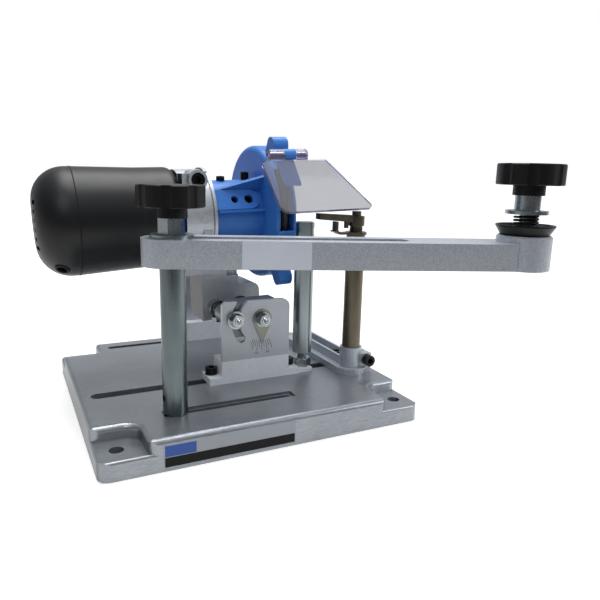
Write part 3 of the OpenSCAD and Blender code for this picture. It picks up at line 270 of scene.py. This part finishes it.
def finish(name, base, metallic, roughness, grain_mm, drift=0.06, cloud_mm=7, cloud_tone=0.06,
           grain_tone=0.10, rough_spread=0.10, bump=0.02, stretch=(1, 1, 1), cloud_stretch=(1, 1, 1),
           specular=0.5, painted_left_shade=1.0):
    """Lays a drift of tone, clouds, a fine grain and a bump over a base colour, and a painted shade on faces
    that look left. Sizes are in millimetres.
    """
    made = bpy.data.materials.new(name)
    made.use_nodes = True
    tree = made.node_tree
    shader = tree.nodes["Principled BSDF"]
    place = add(tree, "ShaderNodeTexCoord").outputs["Object"]
    along = add(tree, "ShaderNodeMapping", values={"Scale": stretch}, links={"Vector": place}).outputs[0]
    run = add(tree, "ShaderNodeMapping", values={"Scale": cloud_stretch}, links={"Vector": place}).outputs[0]
    slow = add(tree, "ShaderNodeTexNoise", values={"Scale": 1 / (DRIFT_MM * MM), "Detail": 3.0},
               links={"Vector": place}).outputs["Fac"]
    cloud = add(tree, "ShaderNodeTexNoise", values={"Scale": 1 / (cloud_mm * MM), "Detail": 4.0},
                links={"Vector": run}).outputs["Fac"]
    grain = add(tree, "ShaderNodeTexNoise", values={"Scale": 1 / (grain_mm * MM), "Detail": 2.0},
                links={"Vector": along}).outputs["Fac"]
    tone = reckon(tree, "MULTIPLY_ADD", slow, 2 * drift, 1 - drift)
    clouded = reckon(tree, "MULTIPLY_ADD", cloud, 2 * cloud_tone, -cloud_tone)
    fine = reckon(tree, "MULTIPLY_ADD", grain, 2 * grain_tone, -grain_tone)
    total = reckon(tree, "ADD", reckon(tree, "ADD", tone, clouded), fine)
    # painted shade: the colour of faces that look to the left is darkened, because the room leaves them too
    # bright
    if painted_left_shade < 1:
        facing = add(tree, "ShaderNodeTexCoord").outputs["Normal"]
        sideways = add(tree, "ShaderNodeSeparateXYZ", links={0: facing}).outputs["X"]
        total = reckon(tree, "MULTIPLY", total, remap(tree, sideways, LEFT_SHADE_FACING, (painted_left_shade, 1.0)))
    tinted = add(tree, "ShaderNodeVectorMath", operation="SCALE", values={0: colour(base)[:3]},
                 links={"Scale": total}).outputs[0]
    rough = remap(tree, cloud, (0.0, 1.0), (roughness - rough_spread / 2, roughness + rough_spread / 2))
    relief = add(tree, "ShaderNodeBump", values={"Strength": 1.0, "Distance": bump * MM},
                 links={"Height": grain}).outputs[0]
    tree.links.new(tinted, shader.inputs["Base Color"])
    tree.links.new(rough, shader.inputs["Roughness"])
    tree.links.new(relief, shader.inputs["Normal"])
    shader.inputs["Metallic"].default_value = metallic
    shader.inputs["Specular IOR Level"].default_value = specular
    return made


UPRIGHT = (1, 1, 0.10)
MATERIALS = {
    # silver paint on a die casting: fine sparkle, faintly brushed along the base, with painted shade on the
    # faces that look left
    "cast_aluminium": finish("silver_painted_die_casting", "999EA4", 0.72, 0.32, 0.8, drift=0.12, cloud_mm=9,
                             cloud_tone=0.10, grain_tone=0.26, rough_spread=0.12, bump=0.012,
                             stretch=(0.16, 1, 1), cloud_stretch=(0.5, 1, 1), painted_left_shade=0.5),
    # the arm and the link wear a thicker hammered coat of the same silver
    "silver_paint": finish("hammered_silver_enamel", "B6BCC4", 0.50, 0.42, 1.2, cloud_mm=3.5, cloud_tone=0.10,
                           grain_tone=0.36, bump=0.04),
    # zinc plate: greenish grey, clouded in upright streaks
    "zinc_steel": finish("bright_zinc_plated_steel", "9CA4A6", 1.0, 0.27, 1.6, drift=0.20, cloud_mm=3,
                         cloud_tone=0.20, grain_tone=0.05, rough_spread=0.16, stretch=UPRIGHT,
                         cloud_stretch=(1, 1, 0.22), bump=0.006),
    # turned bright steel shows the fine rings of the tool
    "bright_steel": finish("turned_bright_steel", "B9BCC0", 1.0, 0.22, 0.8, grain_tone=0.05,
                           stretch=(1, 1, 6), bump=0.006),
    # the plates are sheet with a satin grain along the roll
    "plate_steel": finish("satin_zinc_sheet", "BBC0C6", 0.60, 0.46, 0.6, drift=0.10, cloud_mm=10,
                          cloud_tone=0.08, grain_tone=0.08, stretch=(0.15, 1, 1), bump=0.006),
    # gunmetal brown, lighter where the rod was handled
    "browned_steel": finish("browned_steel_rod", "635D50", 1.0, 0.33, 1.2, drift=0.20, cloud_mm=5,
                            cloud_tone=0.20, grain_tone=0.08, stretch=UPRIGHT,
                            cloud_stretch=(1, 1, 0.3), bump=0.006),
    "black_screw": finish("black_oxide_screw_steel", "17181A", 0.6, 0.36, 0.6, bump=0.006),
    "black_oxide": finish("black_oxide_turned_steel", "131415", 0.6, 0.40, 0.6, bump=0.006),
    "black_spring": finish("phosphated_spring_wire", "1B1C1E", 0.7, 0.40, 0.5, bump=0.004),
    # moulded knobs: bakelite with a faint spark-eroded texture
    "black_plastic": finish("moulded_black_bakelite", "0E0F11", 0.0, 0.40, 0.5, bump=0.012, specular=0.26),
    "motor_plastic": finish("glass_filled_nylon_charcoal", "131416", 0.0, 0.40, 0.6, grain_tone=0.20,
                            bump=0.02, specular=0.34),
    "blue_plastic": finish("moulded_blue_abs", "3979CB", 0.0, 0.36, 0.6, grain_tone=0.05,
                            bump=0.008, specular=0.36),
    "bronze": finish("sintered_bronze", "9B7A45", 1.0, 0.42, 0.4),
    "iron_core": finish("lacquered_core_laminations", "505153", 1.0, 0.5, 0.5),
    # the grit band is dark and rough, with single bright grains
    "grinding_grit": finish("diamond_grit_band", "3B3C38", 0.4, 0.72, 0.35, grain_tone=0.4, bump=0.08),
}
print("finishes:", len(MATERIALS))

# %% [markdown]
# ## The clear shield
# The shield is a sheet of clear polycarbonate, 3 mm thick. Its index of refraction is about
# 1.58. Use has left its faces milky with fine scratches, so some of the light is scattered.
# Light that runs along inside the sheet comes out at the cut edges, which look violet. The
# edges are told from the faces by how far they turn away from the sheet's own direction.

# %% Clear polycarbonate
SHIELD_TINT = "DCDDE4"
EDGE_TINT = "ABA4D0"
HAZE_MM = 18
SCRATCHED = (0.03, 0.09)
EDGE_TO_FACE = (0.80, 0.97)
CLEARNESS = 0.90
POLYCARBONATE_IOR = 1.58
sheet_faces = frame["nodes"]["shield"].data.polygons
widest = max(sheet_faces, key=lambda face: face.area)
sheet_normal = tuple(widest.normal)

clear = bpy.data.materials.new("clear_polycarbonate")
clear.use_nodes = True
tree = clear.node_tree
shader = tree.nodes["Principled BSDF"]
coordinates = add(tree, "ShaderNodeTexCoord")
place = coordinates.outputs["Object"]
haze = add(tree, "ShaderNodeTexNoise", values={"Scale": 1 / (HAZE_MM * MM), "Detail": 4.0},
           links={"Vector": place}).outputs["Fac"]
scuffed = remap(tree, haze, (0.0, 1.0), SCRATCHED)
along = add(tree, "ShaderNodeVectorMath", operation="DOT_PRODUCT", values={1: sheet_normal},
            links={0: coordinates.outputs["Normal"]}).outputs["Value"]
is_face = remap(tree, reckon(tree, "ABSOLUTE", along), EDGE_TO_FACE)
tint = add(tree, "ShaderNodeValToRGB", links={"Fac": is_face})
tint.color_ramp.elements[0].color = colour(EDGE_TINT)
tint.color_ramp.elements[1].color = colour(SHIELD_TINT)
tree.links.new(tint.outputs["Color"], shader.inputs["Base Color"])
tree.links.new(scuffed, shader.inputs["Roughness"])
shader.inputs["Transmission Weight"].default_value = CLEARNESS
shader.inputs["IOR"].default_value = POLYCARBONATE_IOR
MATERIALS["clear_plastic"] = clear
print("the shield faces", [round(v, 2) for v in sheet_normal])

# %% [markdown]
# ## Dress the CAD pieces
# The record says which slot each piece takes its finish from, so one loop dresses them all.
# A few pieces then get a finish of their own: the column is drawn bar with a dull zinc coat,
# the blade rest's post has a smoother one, the tilting block is a raw casting, the carrier is
# bead-blasted, the bracket's blocks and the rest's foot plate are milled on all sides, the
# bushes are dull with oil, and the pointer's zinc is passivated to a warm grey.

# %% Give every CAD piece its finish
for subpart in frame["record"]["subparts"]:
    piece = frame["nodes"][subpart["node"]]
    piece.data.materials.clear()
    piece.data.materials.append(MATERIALS[subpart["material_slot"]])

STREAKED = (1, 1, 0.15)
ground_bar = finish("drawn_steel_bar_with_dull_zinc", "687173", 1.0, 0.27, 1.4, drift=0.24, cloud_mm=5,
                    cloud_tone=0.26, grain_tone=0.06, rough_spread=0.16, stretch=UPRIGHT,
                    cloud_stretch=STREAKED, bump=0.005)
plated_post = finish("smooth_zinc_plated_post", "939C9E", 1.0, 0.32, 1.6, drift=0.12, cloud_mm=6,
                     cloud_tone=0.06, grain_tone=0.03, stretch=UPRIGHT, cloud_stretch=STREAKED, bump=0.003)
raw_casting = finish("shot_blasted_raw_casting", "7F8488", 0.80, 0.44, 0.9, cloud_mm=6, cloud_tone=0.12,
                     grain_tone=0.24, bump=0.03)
machined_block = finish("milled_aluminium_block", "E6EAF0", 0.10, 0.48, 0.7, cloud_mm=8, cloud_tone=0.08,
                        grain_tone=0.16, bump=0.01, stretch=(0.2, 1, 1))
# the carrier's left flank gets a strong painted shade, down to 0.09 of its colour
blasted_casting = finish("bead_blasted_casting", "B9BEC4", 0.60, 0.42, 0.9, cloud_mm=6, cloud_tone=0.10,
                         grain_tone=0.30, bump=0.03, painted_left_shade=0.09)
dull_bronze = finish("oiled_dull_bronze", "5E5746", 1.0, 0.45, 0.5)
OWN_FINISH = {"column_post": ground_bar, "rest_post": plated_post, "tilt_block": raw_casting,
              "front_block": machined_block, "rear_block": machined_block, "rest_plate": machined_block,
              "carrier_casting": blasted_casting, "shaft_bushes": dull_bronze}
for node, own in OWN_FINISH.items():
    frame["nodes"][node].data.materials.clear()
    frame["nodes"][node].data.materials.append(own)

pointer_finish = finish("passivated_zinc_pointer", "7C7E75", 1.0, 0.30, 0.6, cloud_mm=3,
                        cloud_tone=0.12, bump=0.004)
frame["nodes"]["pointer"].data.materials.clear()
frame["nodes"]["pointer"].data.materials.append(pointer_finish)

# %% [markdown]
# ## Tools for the small pieces
# The small pieces are made where it is easy to think about them, at the origin, and are then
# moved into place by a matrix. Three matrices do it: one for the column with the arm's
# direction, one for the tilted head, and one that stands a flat outline up to face the front.

# %% Places and a helper that finishes a piece
COLUMN_AT = Vector((-65.8, -79.3, 0)) * MM
ARM_YAW = math.radians(-20.84)
PIVOT_X, PIVOT_Z = 20, 76.3
PIVOT = Vector((PIVOT_X, 0, PIVOT_Z)) * MM
HEAD_TILT = math.radians(-2.3)
MOTOR_AXIS = Vector((0, 29.5, 159.6)) * MM

IN_ARM = Matrix.Translation(COLUMN_AT) @ Matrix.Rotation(ARM_YAW, 4, "Z")
IN_HEAD = Matrix.Translation(PIVOT) @ Matrix.Rotation(HEAD_TILT, 4, "Y") @ Matrix.Translation(-PIVOT)
FACE_FRONT = Matrix.Rotation(math.radians(90), 4, "X")
ALONG_X = Matrix.Rotation(math.radians(90), 4, "Y")


def at(x, y, z):
    """A move, in millimetres."""
    return Matrix.Translation(Vector((x, y, z)) * MM)


def clear_selection():
    """Leaves edit mode with nothing selected, so that the next operator works on its own piece."""
    if bpy.context.object and bpy.context.object.mode != "OBJECT":
        bpy.ops.object.mode_set(mode="OBJECT")
    bpy.ops.object.select_all(action="DESELECT")


def only(piece):
    """Makes one piece selected and active."""
    clear_selection()
    piece.select_set(True)
    bpy.context.view_layer.objects.active = piece


def settle(piece, name, body, material, place=None, smooth=None):
    """Names a piece, moves it into place for good, gives it its finish and lets it ride on a body."""
    only(piece)
    piece.name = name
    piece.data.name = name
    if place is not None:
        piece.matrix_world = place @ piece.matrix_world
    bpy.ops.object.transform_apply(location=True, rotation=True, scale=True)
    bpy.ops.object.mode_set(mode="EDIT")
    bpy.ops.mesh.select_all(action="SELECT")
    bpy.ops.mesh.normals_make_consistent(inside=False)
    bpy.ops.object.mode_set(mode="OBJECT")
    if smooth is not None:
        bpy.ops.object.shade_smooth_by_angle(angle=math.radians(smooth))
    piece.data.materials.clear()
    piece.data.materials.append(material)
    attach(piece, body)
    return piece


def joined(pieces):
    """One piece from several."""
    clear_selection()
    for piece in pieces:
        piece.select_set(True)
    bpy.context.view_layer.objects.active = pieces[0]
    bpy.ops.object.join()
    return bpy.context.object


print("the head leans by", round(math.degrees(HEAD_TILT), 1), "degrees")

# %% [markdown]
# ## Stickers
# A film label is cut from sheet 0.15 mm thick with small round corners. One is stuck on the
# front of the arm and one on the front of the base. Both stay bare here: only the film, its
# plain colour panel and its plain dark band are made. Each is a plane that is scaled, cut at
# its corners by a bevel of its corner points, and extruded to the film's thickness.

# %% Cut and stick the films
def film(width, height, thickness, corner):
    """A thin upright sheet facing the front, centred on the origin, with its back on y = 0."""
    clear_selection()
    bpy.ops.mesh.primitive_plane_add(size=1)
    sheet = bpy.context.object
    sheet.scale = (width * MM, height * MM, 1)
    bpy.ops.object.transform_apply(location=False, rotation=False, scale=True)
    bpy.ops.object.mode_set(mode="EDIT")
    bpy.ops.mesh.select_all(action="SELECT")
    bpy.ops.mesh.bevel(offset=corner * MM, segments=4, affect="VERTICES")
    bpy.ops.mesh.select_all(action="SELECT")
    bpy.ops.mesh.extrude_region_move(TRANSFORM_OT_translate={"value": (0, 0, thickness * MM)})
    bpy.ops.object.mode_set(mode="OBJECT")
    sheet.matrix_world = FACE_FRONT
    return sheet


silver_film = finish("brushed_silver_film", "DEE3EE", 0.08, 0.34, 0.4, cloud_mm=20, cloud_tone=0.04,
                     grain_tone=0.05, stretch=(0.08, 1, 1), bump=0.002)
dark_film = finish("printed_black_film", "0D0E10", 0.0, 0.48, 0.5, grain_tone=0.05, bump=0.002, specular=0.2)
blue_film = finish("printed_blue_film", "2F57A8", 0.0, 0.38, 0.5, grain_tone=0.05, bump=0.002)
FILM = 0.15
PRINT = 0.04
ARM_UNDERSIDE, ARM_HIGH = 132.5, 19.2
ARM_MIDDLE_Z = ARM_UNDERSIDE + ARM_HIGH / 2
ARM_FRONT = -19
settle(film(47, 18.8, FILM, 0.8), "arm_label", "arm", silver_film, IN_ARM @ at(71.5, ARM_FRONT, ARM_MIDDLE_Z))
BASE_FRONT = -120.3
LABEL_X = -36.2
grey_film = finish("brushed_grey_film", "A3A8B0", 0.08, 0.36, 0.4, cloud_mm=20, cloud_tone=0.04,
                   grain_tone=0.05, stretch=(0.08, 1, 1), bump=0.002)
settle(film(97.2, 16.8, FILM, 0.8), "base_label", "base", grey_film, at(LABEL_X, BASE_FRONT, 10.8))
settle(film(96.2, 6.9, PRINT, 0.3), "base_label_band", "base", dark_film, at(LABEL_X, BASE_FRONT - FILM, 6.4))
settle(film(21.5, 7.9, PRINT, 0.3), "base_label_panel", "base", blue_film, at(-73.4, BASE_FRONT - FILM, 14.3))

# %% [markdown]
# ## The angle scale
# The front plate carries a fan of engraved lines below the pointer, one every five degrees
# and a longer one every ten, with a 10 under the tenth on each side. An engraver's line is
# about 0.4 mm wide and filled black. Every line is cut on its own and swung to its angle, and
# then all of them are joined.

# %% Engrave the fan
PLATE_FRONT = -38.6
ENGRAVED = 0.03
INNER = 18.5
LINE_WIDE, LONG_LINE, SHORT_LINE = 0.42, 27.2, 24.4
FIGURE_HIGH, FIGURE_DOWN = 3.2, 29.6
ink = finish("engraving_ink", "2A2B2C", 0.0, 0.6, 0.3, bump=0.002)
lines = []
for degrees in range(-25, 25, 5):
    outer = LONG_LINE if degrees % 10 == 0 else SHORT_LINE
    line = film(LINE_WIDE, outer - INNER, ENGRAVED, 0.1)
    swing = Matrix.Rotation(math.radians(-degrees), 4, "Y")
    from_pivot = at(PIVOT_X, PLATE_FRONT, PIVOT_Z) @ swing
    line.matrix_world = from_pivot @ at(0, 0, -(outer + INNER) / 2) @ line.matrix_world
    only(line)
    bpy.ops.object.transform_apply(location=True, rotation=True, scale=True)
    lines.append(line)
settle(joined(lines), "angle_lines", "bracket", ink)

figures = []
for degrees in (-10, 10):
    clear_selection()
    bpy.ops.object.text_add()
    figure = bpy.context.object
    figure.data.body = "10"
    figure.data.size = FIGURE_HIGH * MM
    figure.data.align_x = "CENTER"
    figure.data.align_y = "CENTER"
    figure.data.extrude = ENGRAVED * MM / 2
    bpy.ops.object.convert(target="MESH")
    bpy.ops.object.mode_set(mode="EDIT")
    bpy.ops.mesh.select_all(action="SELECT")
    bpy.ops.mesh.remove_doubles(threshold=1e-6)
    bpy.ops.object.mode_set(mode="OBJECT")
    swing = Matrix.Rotation(math.radians(-degrees), 4, "Y")
    from_pivot = at(PIVOT_X, PLATE_FRONT - ENGRAVED / 2, PIVOT_Z) @ swing
    figure.matrix_world = from_pivot @ at(0, 0, -FIGURE_DOWN) @ FACE_FRONT
    bpy.ops.object.transform_apply(location=True, rotation=True, scale=True)
    figures.append(figure)
settle(joined(figures), "angle_figures", "bracket", ink)
print("lines:", len(lines), "figures:", len(figures))

# %% [markdown]
# ## The pointer
# The pointer is a kite stamped from sheet: round above the nut, straight down both sides and
# then in to a tip. A disc is bisected below its middle, and the straight cut is drawn down
# and closed to a point. The flat outline is then extruded to the sheet's thickness.

# %% Stamp the pointer
POINTER_R = 8.4
POINTER_TIP = 21
POINTER_THICK = 1.2
POINTER_CUT = 3
clear_selection()
bpy.ops.mesh.primitive_circle_add(vertices=64, radius=POINTER_R * MM, fill_type="NGON")
kite = bpy.context.object
bpy.ops.object.mode_set(mode="EDIT")
bpy.ops.mesh.select_all(action="SELECT")
bpy.ops.mesh.bisect(plane_co=(0, -POINTER_CUT * MM, 0), plane_no=(0, -1, 0), clear_outer=True, use_fill=False)
bpy.ops.mesh.select_all(action="DESELECT")
bpy.ops.object.mode_set(mode="OBJECT")
for vertex in kite.data.vertices:
    vertex.select = vertex.co.y < -(POINTER_CUT - 0.01) * MM
bpy.ops.object.mode_set(mode="EDIT")
bpy.ops.mesh.extrude_region_move(TRANSFORM_OT_translate={"value": (0, (POINTER_CUT - POINTER_TIP) * MM, 0)})
bpy.ops.mesh.merge(type="CENTER")
bpy.ops.mesh.select_all(action="SELECT")
bpy.ops.mesh.extrude_region_move(TRANSFORM_OT_translate={"value": (0, 0, POINTER_THICK * MM)})
bpy.ops.object.mode_set(mode="OBJECT")
kite.matrix_world = at(PIVOT_X, PLATE_FRONT, PIVOT_Z) @ FACE_FRONT
kite = settle(kite, "stamped_pointer", "tilt_frame", pointer_finish, smooth=30)
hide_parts("pointer")
print("pointer faces:", len(kite.data.polygons))

# %% [markdown]
# ## Coves at the base's corners
# Where a corner of the base steps down to its lug, the two walls of the casting run into each other in a wide
# cove. One cove is cut from a block with a round tool, its top edge is rounded like the base's own edge, and
# it is copied to all four corners. Its top is level with the base's top, and its foot sinks a hair below the
# lug's top.

# %% Fill the four corners
LUG_TOP, BASE_TOP = 13.6, 23.27
STEP_AT = (127 - 32.4, 120.3 - 34.4)
COVE = 12
SUNK = 5
SUNK_BELOW = 0.4
EDGE_ROUND = 4
BLOCK_HIGH = BASE_TOP - LUG_TOP + SUNK_BELOW
TOP = BLOCK_HIGH / 2
clear_selection()
bpy.ops.mesh.primitive_cube_add(size=1, location=((COVE - SUNK) / 2 * MM, (COVE - SUNK) / 2 * MM, 0))
block = bpy.context.object
block.scale = ((COVE + SUNK) * MM, (COVE + SUNK) * MM, BLOCK_HIGH * MM)
bpy.ops.object.transform_apply(location=True, rotation=True, scale=True)
clear_selection()
bpy.ops.mesh.primitive_cylinder_add(vertices=96, radius=COVE * MM, depth=5 * COVE * MM,
                                    location=(COVE * MM, COVE * MM, 0))
tool = bpy.context.object
bpy.ops.object.transform_apply(location=True, rotation=True, scale=True)
only(block)
cut = block.modifiers.new("cove", "BOOLEAN")
cut.operation = "DIFFERENCE"
cut.object = tool
cut.solver = "EXACT"
bpy.ops.object.modifier_apply(modifier=cut.name)
bpy.data.objects.remove(tool)
only(block)
bpy.ops.object.mode_set(mode="EDIT")
bpy.ops.mesh.select_mode(type="EDGE")
bpy.ops.mesh.select_all(action="DESELECT")
bpy.ops.object.mode_set(mode="OBJECT")
for edge in block.data.edges:
    ends = [block.data.vertices[v].co / MM for v in edge.vertices]
    on_arc = [abs(math.hypot(e.x - COVE, e.y - COVE) - COVE) < 0.05 and e.z > TOP - 0.01 for e in ends]
    edge.select = all(on_arc)
bpy.ops.object.mode_set(mode="EDIT")
bpy.ops.mesh.bevel(offset=EDGE_ROUND * MM, segments=5, affect="EDGES", clamp_overlap=False)
bpy.ops.mesh.select_mode(type="VERT")
bpy.ops.object.mode_set(mode="OBJECT")
coves = []
for side_x in (-1, 1):
    for side_y in (-1, 1):
        copy = block.copy()
        copy.data = block.data.copy()
        bpy.context.scene.collection.objects.link(copy)
        copy.matrix_world = at(side_x * STEP_AT[0], side_y * STEP_AT[1], BASE_TOP - TOP) @ Matrix.Diagonal(
            (side_x, side_y, 1, 1))
        only(copy)
        bpy.ops.object.transform_apply(location=True, rotation=True, scale=True)
        coves.append(copy)
bpy.data.objects.remove(block)
settle(joined(coves), "corner_coves", "base", MATERIALS["cast_aluminium"], smooth=35)
print("coves:", len(coves))

# %% [markdown]
# ## Hexagon nuts
# A real nut is turned before it is plated, so its corners are cut back by a cone at both
# ends. A six-sided prism is crossed with a bevelled cylinder to get those curved corner
# cuts, and a bore is taken out. These nuts stand for the plain CAD ones.

# %% Turn the nuts
def hexagon_nut(across_flats, height, bore):
    """A chamfered nut standing on the origin along Z. Sizes are in millimetres."""
    corner = across_flats / 2 / math.cos(math.radians(30))
    tools = []
    for sides, radius, depth in ((6, corner, height), (64, corner * 1.004, height),
                                 (48, bore / 2, height * 2)):
        clear_selection()
        bpy.ops.mesh.primitive_cylinder_add(vertices=sides, radius=radius * MM, depth=depth * MM,
                                            location=(0, 0, height * MM / 2))
        bpy.ops.object.transform_apply(location=True, rotation=True, scale=True)
        tools.append(bpy.context.object)
    prism, turned, drill = tools
    only(turned)
    bpy.ops.object.mode_set(mode="EDIT")
    bpy.ops.mesh.select_mode(type="EDGE")
    bpy.ops.mesh.select_all(action="DESELECT")
    bpy.ops.object.mode_set(mode="OBJECT")
    for edge in turned.data.edges:
        ends = [turned.data.vertices[v].co.z for v in edge.vertices]
        edge.select = abs(ends[0] - ends[1]) < 1e-6
    bpy.ops.object.mode_set(mode="EDIT")
    bpy.ops.mesh.bevel(offset=(corner - across_flats / 2) * 1.15 * MM, segments=1, affect="EDGES")
    bpy.ops.mesh.select_mode(type="VERT")
    bpy.ops.object.mode_set(mode="OBJECT")
    only(prism)
    for tool, act in ((turned, "INTERSECT"), (drill, "DIFFERENCE")):
        cut = prism.modifiers.new("cut", "BOOLEAN")
        cut.operation = act
        cut.object = tool
        cut.solver = "EXACT"
        bpy.ops.object.modifier_apply(modifier=cut.name)
    for tool in (turned, drill):
        bpy.data.objects.remove(tool)
    return prism


M6_NUT_FLATS, M6_NUT_HIGH, M6_NUT_BORE = 10, 5.2, 6.04
WASHER = 1.6
REAR_PLATE, REAR_PLATE_THICK = 106, 4
NUT_FRONT = PLATE_FRONT - POINTER_THICK - WASHER - M6_NUT_HIGH
NUT_REAR = REAR_PLATE + REAR_PLATE_THICK + WASHER
GUIDE_OUT, GUIDE_ANGLE = 24, math.radians(6)
GUIDE = (PIVOT_X - GUIDE_OUT * math.cos(GUIDE_ANGLE), PIVOT_Z + GUIDE_OUT * math.sin(GUIDE_ANGLE))
TO_REAR = Matrix.Rotation(math.radians(-90), 4, "X")
turned_nuts = []
for x, y, z, spin in ((PIVOT_X, NUT_FRONT, PIVOT_Z, 12), (GUIDE[0], NUT_FRONT, GUIDE[1], 40),
                      (PIVOT_X, NUT_REAR, PIVOT_Z, 0)):
    nut = hexagon_nut(M6_NUT_FLATS, M6_NUT_HIGH, M6_NUT_BORE)
    nut.matrix_world = IN_HEAD @ at(x, y, z) @ TO_REAR @ Matrix.Rotation(math.radians(spin), 4, "Z")
    only(nut)
    bpy.ops.object.transform_apply(location=True, rotation=True, scale=True)
    turned_nuts.append(nut)
nuts = settle(joined(turned_nuts), "turned_tilt_nuts", "tilt_frame", MATERIALS["zinc_steel"], smooth=25)
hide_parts("tilt_nuts")

REST_X, REST_Y = 65, -25.5
REST_NUT_FLATS, REST_NUT_HIGH, REST_NUT_BORE = 14.4, 7.3, 8.16
REST_NUT_Z = 26.5
rest_turned_nut = settle(hexagon_nut(REST_NUT_FLATS, REST_NUT_HIGH, REST_NUT_BORE), "turned_rest_nut",
                         "rest_foot", MATERIALS["zinc_steel"], at(REST_X, REST_Y, REST_NUT_Z), smooth=25)
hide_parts("rest_nut")
print("nuts:", len(turned_nuts) + 1)

# %% [markdown]
# ## Screw threads and the spring
# A rolled thread is a ridge that climbs one pitch for every turn, and a spring is a round
# wire that does the same. Both are a small closed outline swept by the Screw modifier. Its
# two open ends are then filled, so that the piece is a closed solid.

# %% Sweep an outline up a helix
def helix(radius, outline_sides, outline_radius, pitch, turns, steps=28):
    """An outline at that radius, swept up a helix that stands on the origin along Z."""
    clear_selection()
    bpy.ops.mesh.primitive_circle_add(vertices=outline_sides, radius=outline_radius * MM, fill_type="NOTHING")
    wire = bpy.context.object
    bpy.ops.object.mode_set(mode="EDIT")
    bpy.ops.mesh.select_all(action="SELECT")
    bpy.ops.transform.rotate(value=math.radians(90), orient_axis="X", center_override=(0, 0, 0))
    bpy.ops.transform.translate(value=(radius * MM, 0, outline_radius * MM))
    bpy.ops.object.mode_set(mode="OBJECT")
    climb = wire.modifiers.new("climb", "SCREW")
    climb.screw_offset = pitch * MM
    climb.iterations = turns
    climb.steps = steps
    climb.render_steps = steps
    bpy.ops.object.modifier_apply(modifier=climb.name)
    bpy.ops.object.mode_set(mode="EDIT")
    bpy.ops.mesh.select_all(action="SELECT")
    bpy.ops.mesh.fill_holes(sides=outline_sides)
    bpy.ops.object.mode_set(mode="OBJECT")
    return wire


def thread(diameter, length, pitch):
    """A three-sided ridge on a stud of that diameter."""
    return helix(diameter / 2, 3, pitch * 0.42, pitch, max(1, int(length / pitch) - 1))


STOP_X, STOP_Y, STOP_TOP = 101.5, -50.5, 147
settle(thread(10.8, 4.9, 1.1), "stop_thread", "stop_rod", MATERIALS["browned_steel"],
       at(STOP_X, STOP_Y, STOP_TOP + 2), smooth=40)
settle(thread(8, 5.7, 1.1), "rest_thread", "rest_post", MATERIALS["bright_steel"],
       at(REST_X, REST_Y, REST_NUT_Z + REST_NUT_HIGH), smooth=40)
NUT_TAIL = 1.2
for name, x, z in (("pivot_thread", PIVOT_X, PIVOT_Z), ("guide_thread", GUIDE[0], GUIDE[1])):
    settle(thread(6, M6_NUT_HIGH + NUT_TAIL, 0.9), name, "tilt_frame", MATERIALS["bright_steel"],
           IN_HEAD @ at(x, NUT_FRONT - NUT_TAIL, z) @ TO_REAR, smooth=40)

# %% [markdown]
# ## The spring under the clamping knob
# The spring pushes the cone down, and when a blade lifts the cone by 4 mm the spring is squeezed by as much.
# The piece rides up with the cone.

# %% Wind the spring
SPRING_TURNS = 4
SPRING_WIRE = 1.7
SPRING_OUTER = 18
low, high = (Vector(corner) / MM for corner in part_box("clamp_spring"))
middle = (low + high) / 2
spring_height = high.z - low.z
spring = settle(helix((SPRING_OUTER - SPRING_WIRE) / 2, 14, SPRING_WIRE / 2,
                      (spring_height - SPRING_WIRE) / SPRING_TURNS, SPRING_TURNS, steps=40),
                "wound_spring", "cone", MATERIALS["black_spring"], at(middle.x, middle.y, low.z), smooth=50)
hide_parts("clamp_spring")
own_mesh(spring)
print("spring height:", round(spring_height, 2), "mm")

# %% [markdown]
# ## The motor's seam and its inlet
# The cap is a second moulding, so a narrow dark line runs round the motor where it meets the
# body. It is a flat bead with a groove along its middle. Below, a soft rubber grommet lines the
# hole through which the lead goes in: a domed flange outside and a thinner neck in the hole.
# Both are a closed outline of radius and height that the Screw modifier turns once round.

# %% Line the seam and the inlet
def turned(outline, steps):
    """A ring round Z, from a closed outline of (radius, height) points in millimetres."""
    clear_selection()
    bpy.ops.mesh.primitive_circle_add(vertices=len(outline), radius=MM, fill_type="NOTHING")
    ring = bpy.context.object
    for vertex, (radius, height) in zip(ring.data.vertices, outline):
        vertex.co = (radius * MM, 0, height * MM)
    turn = ring.modifiers.new("turn", "SCREW")
    turn.steps = steps
    turn.render_steps = steps
    bpy.ops.object.modifier_apply(modifier=turn.name)
    return ring


SEAM_OUTLINE = [(43.4, -0.45), (43.95, -0.45), (44.05, -0.3), (44.05, -0.12), (43.85, 0),
                (44.05, 0.12), (44.05, 0.3), (43.95, 0.45), (43.4, 0.45)]
GROMMET_OUTLINE = [(3.8, -1.8), (4.4, -1.8), (4.4, -0.9), (5.9, -0.9), (6.0, -0.2), (5.8, 0.35),
                   (5.3, 0.85), (4.7, 1.05), (4.15, 0.85), (3.85, 0.35)]
rubber = finish("soft_black_rubber", "131314", 0.0, 0.62, 0.5, bump=0.01, specular=0.3)
CAP_SEAM = -114
settle(turned(SEAM_OUTLINE, 96), "motor_seam", "carrier", rubber,
       IN_HEAD @ Matrix.Translation(MOTOR_AXIS) @ at(CAP_SEAM, 0, 0) @ ALONG_X, smooth=40)

INLET_ROUND, INLET_LEAN = math.radians(145), math.radians(-22.6)
INLET_FROM_SEAM, INLET_OUT = 14, 41.7
INLET = Matrix.Rotation(INLET_ROUND, 4, "X") @ at(CAP_SEAM - INLET_FROM_SEAM, 0, INLET_OUT) \
    @ Matrix.Rotation(INLET_LEAN, 4, "Y")
settle(turned(GROMMET_OUTLINE, 40), "inlet_ring", "carrier", rubber,
       IN_HEAD @ Matrix.Translation(MOTOR_AXIS) @ INLET, smooth=40)
print("seam at x =", CAP_SEAM)
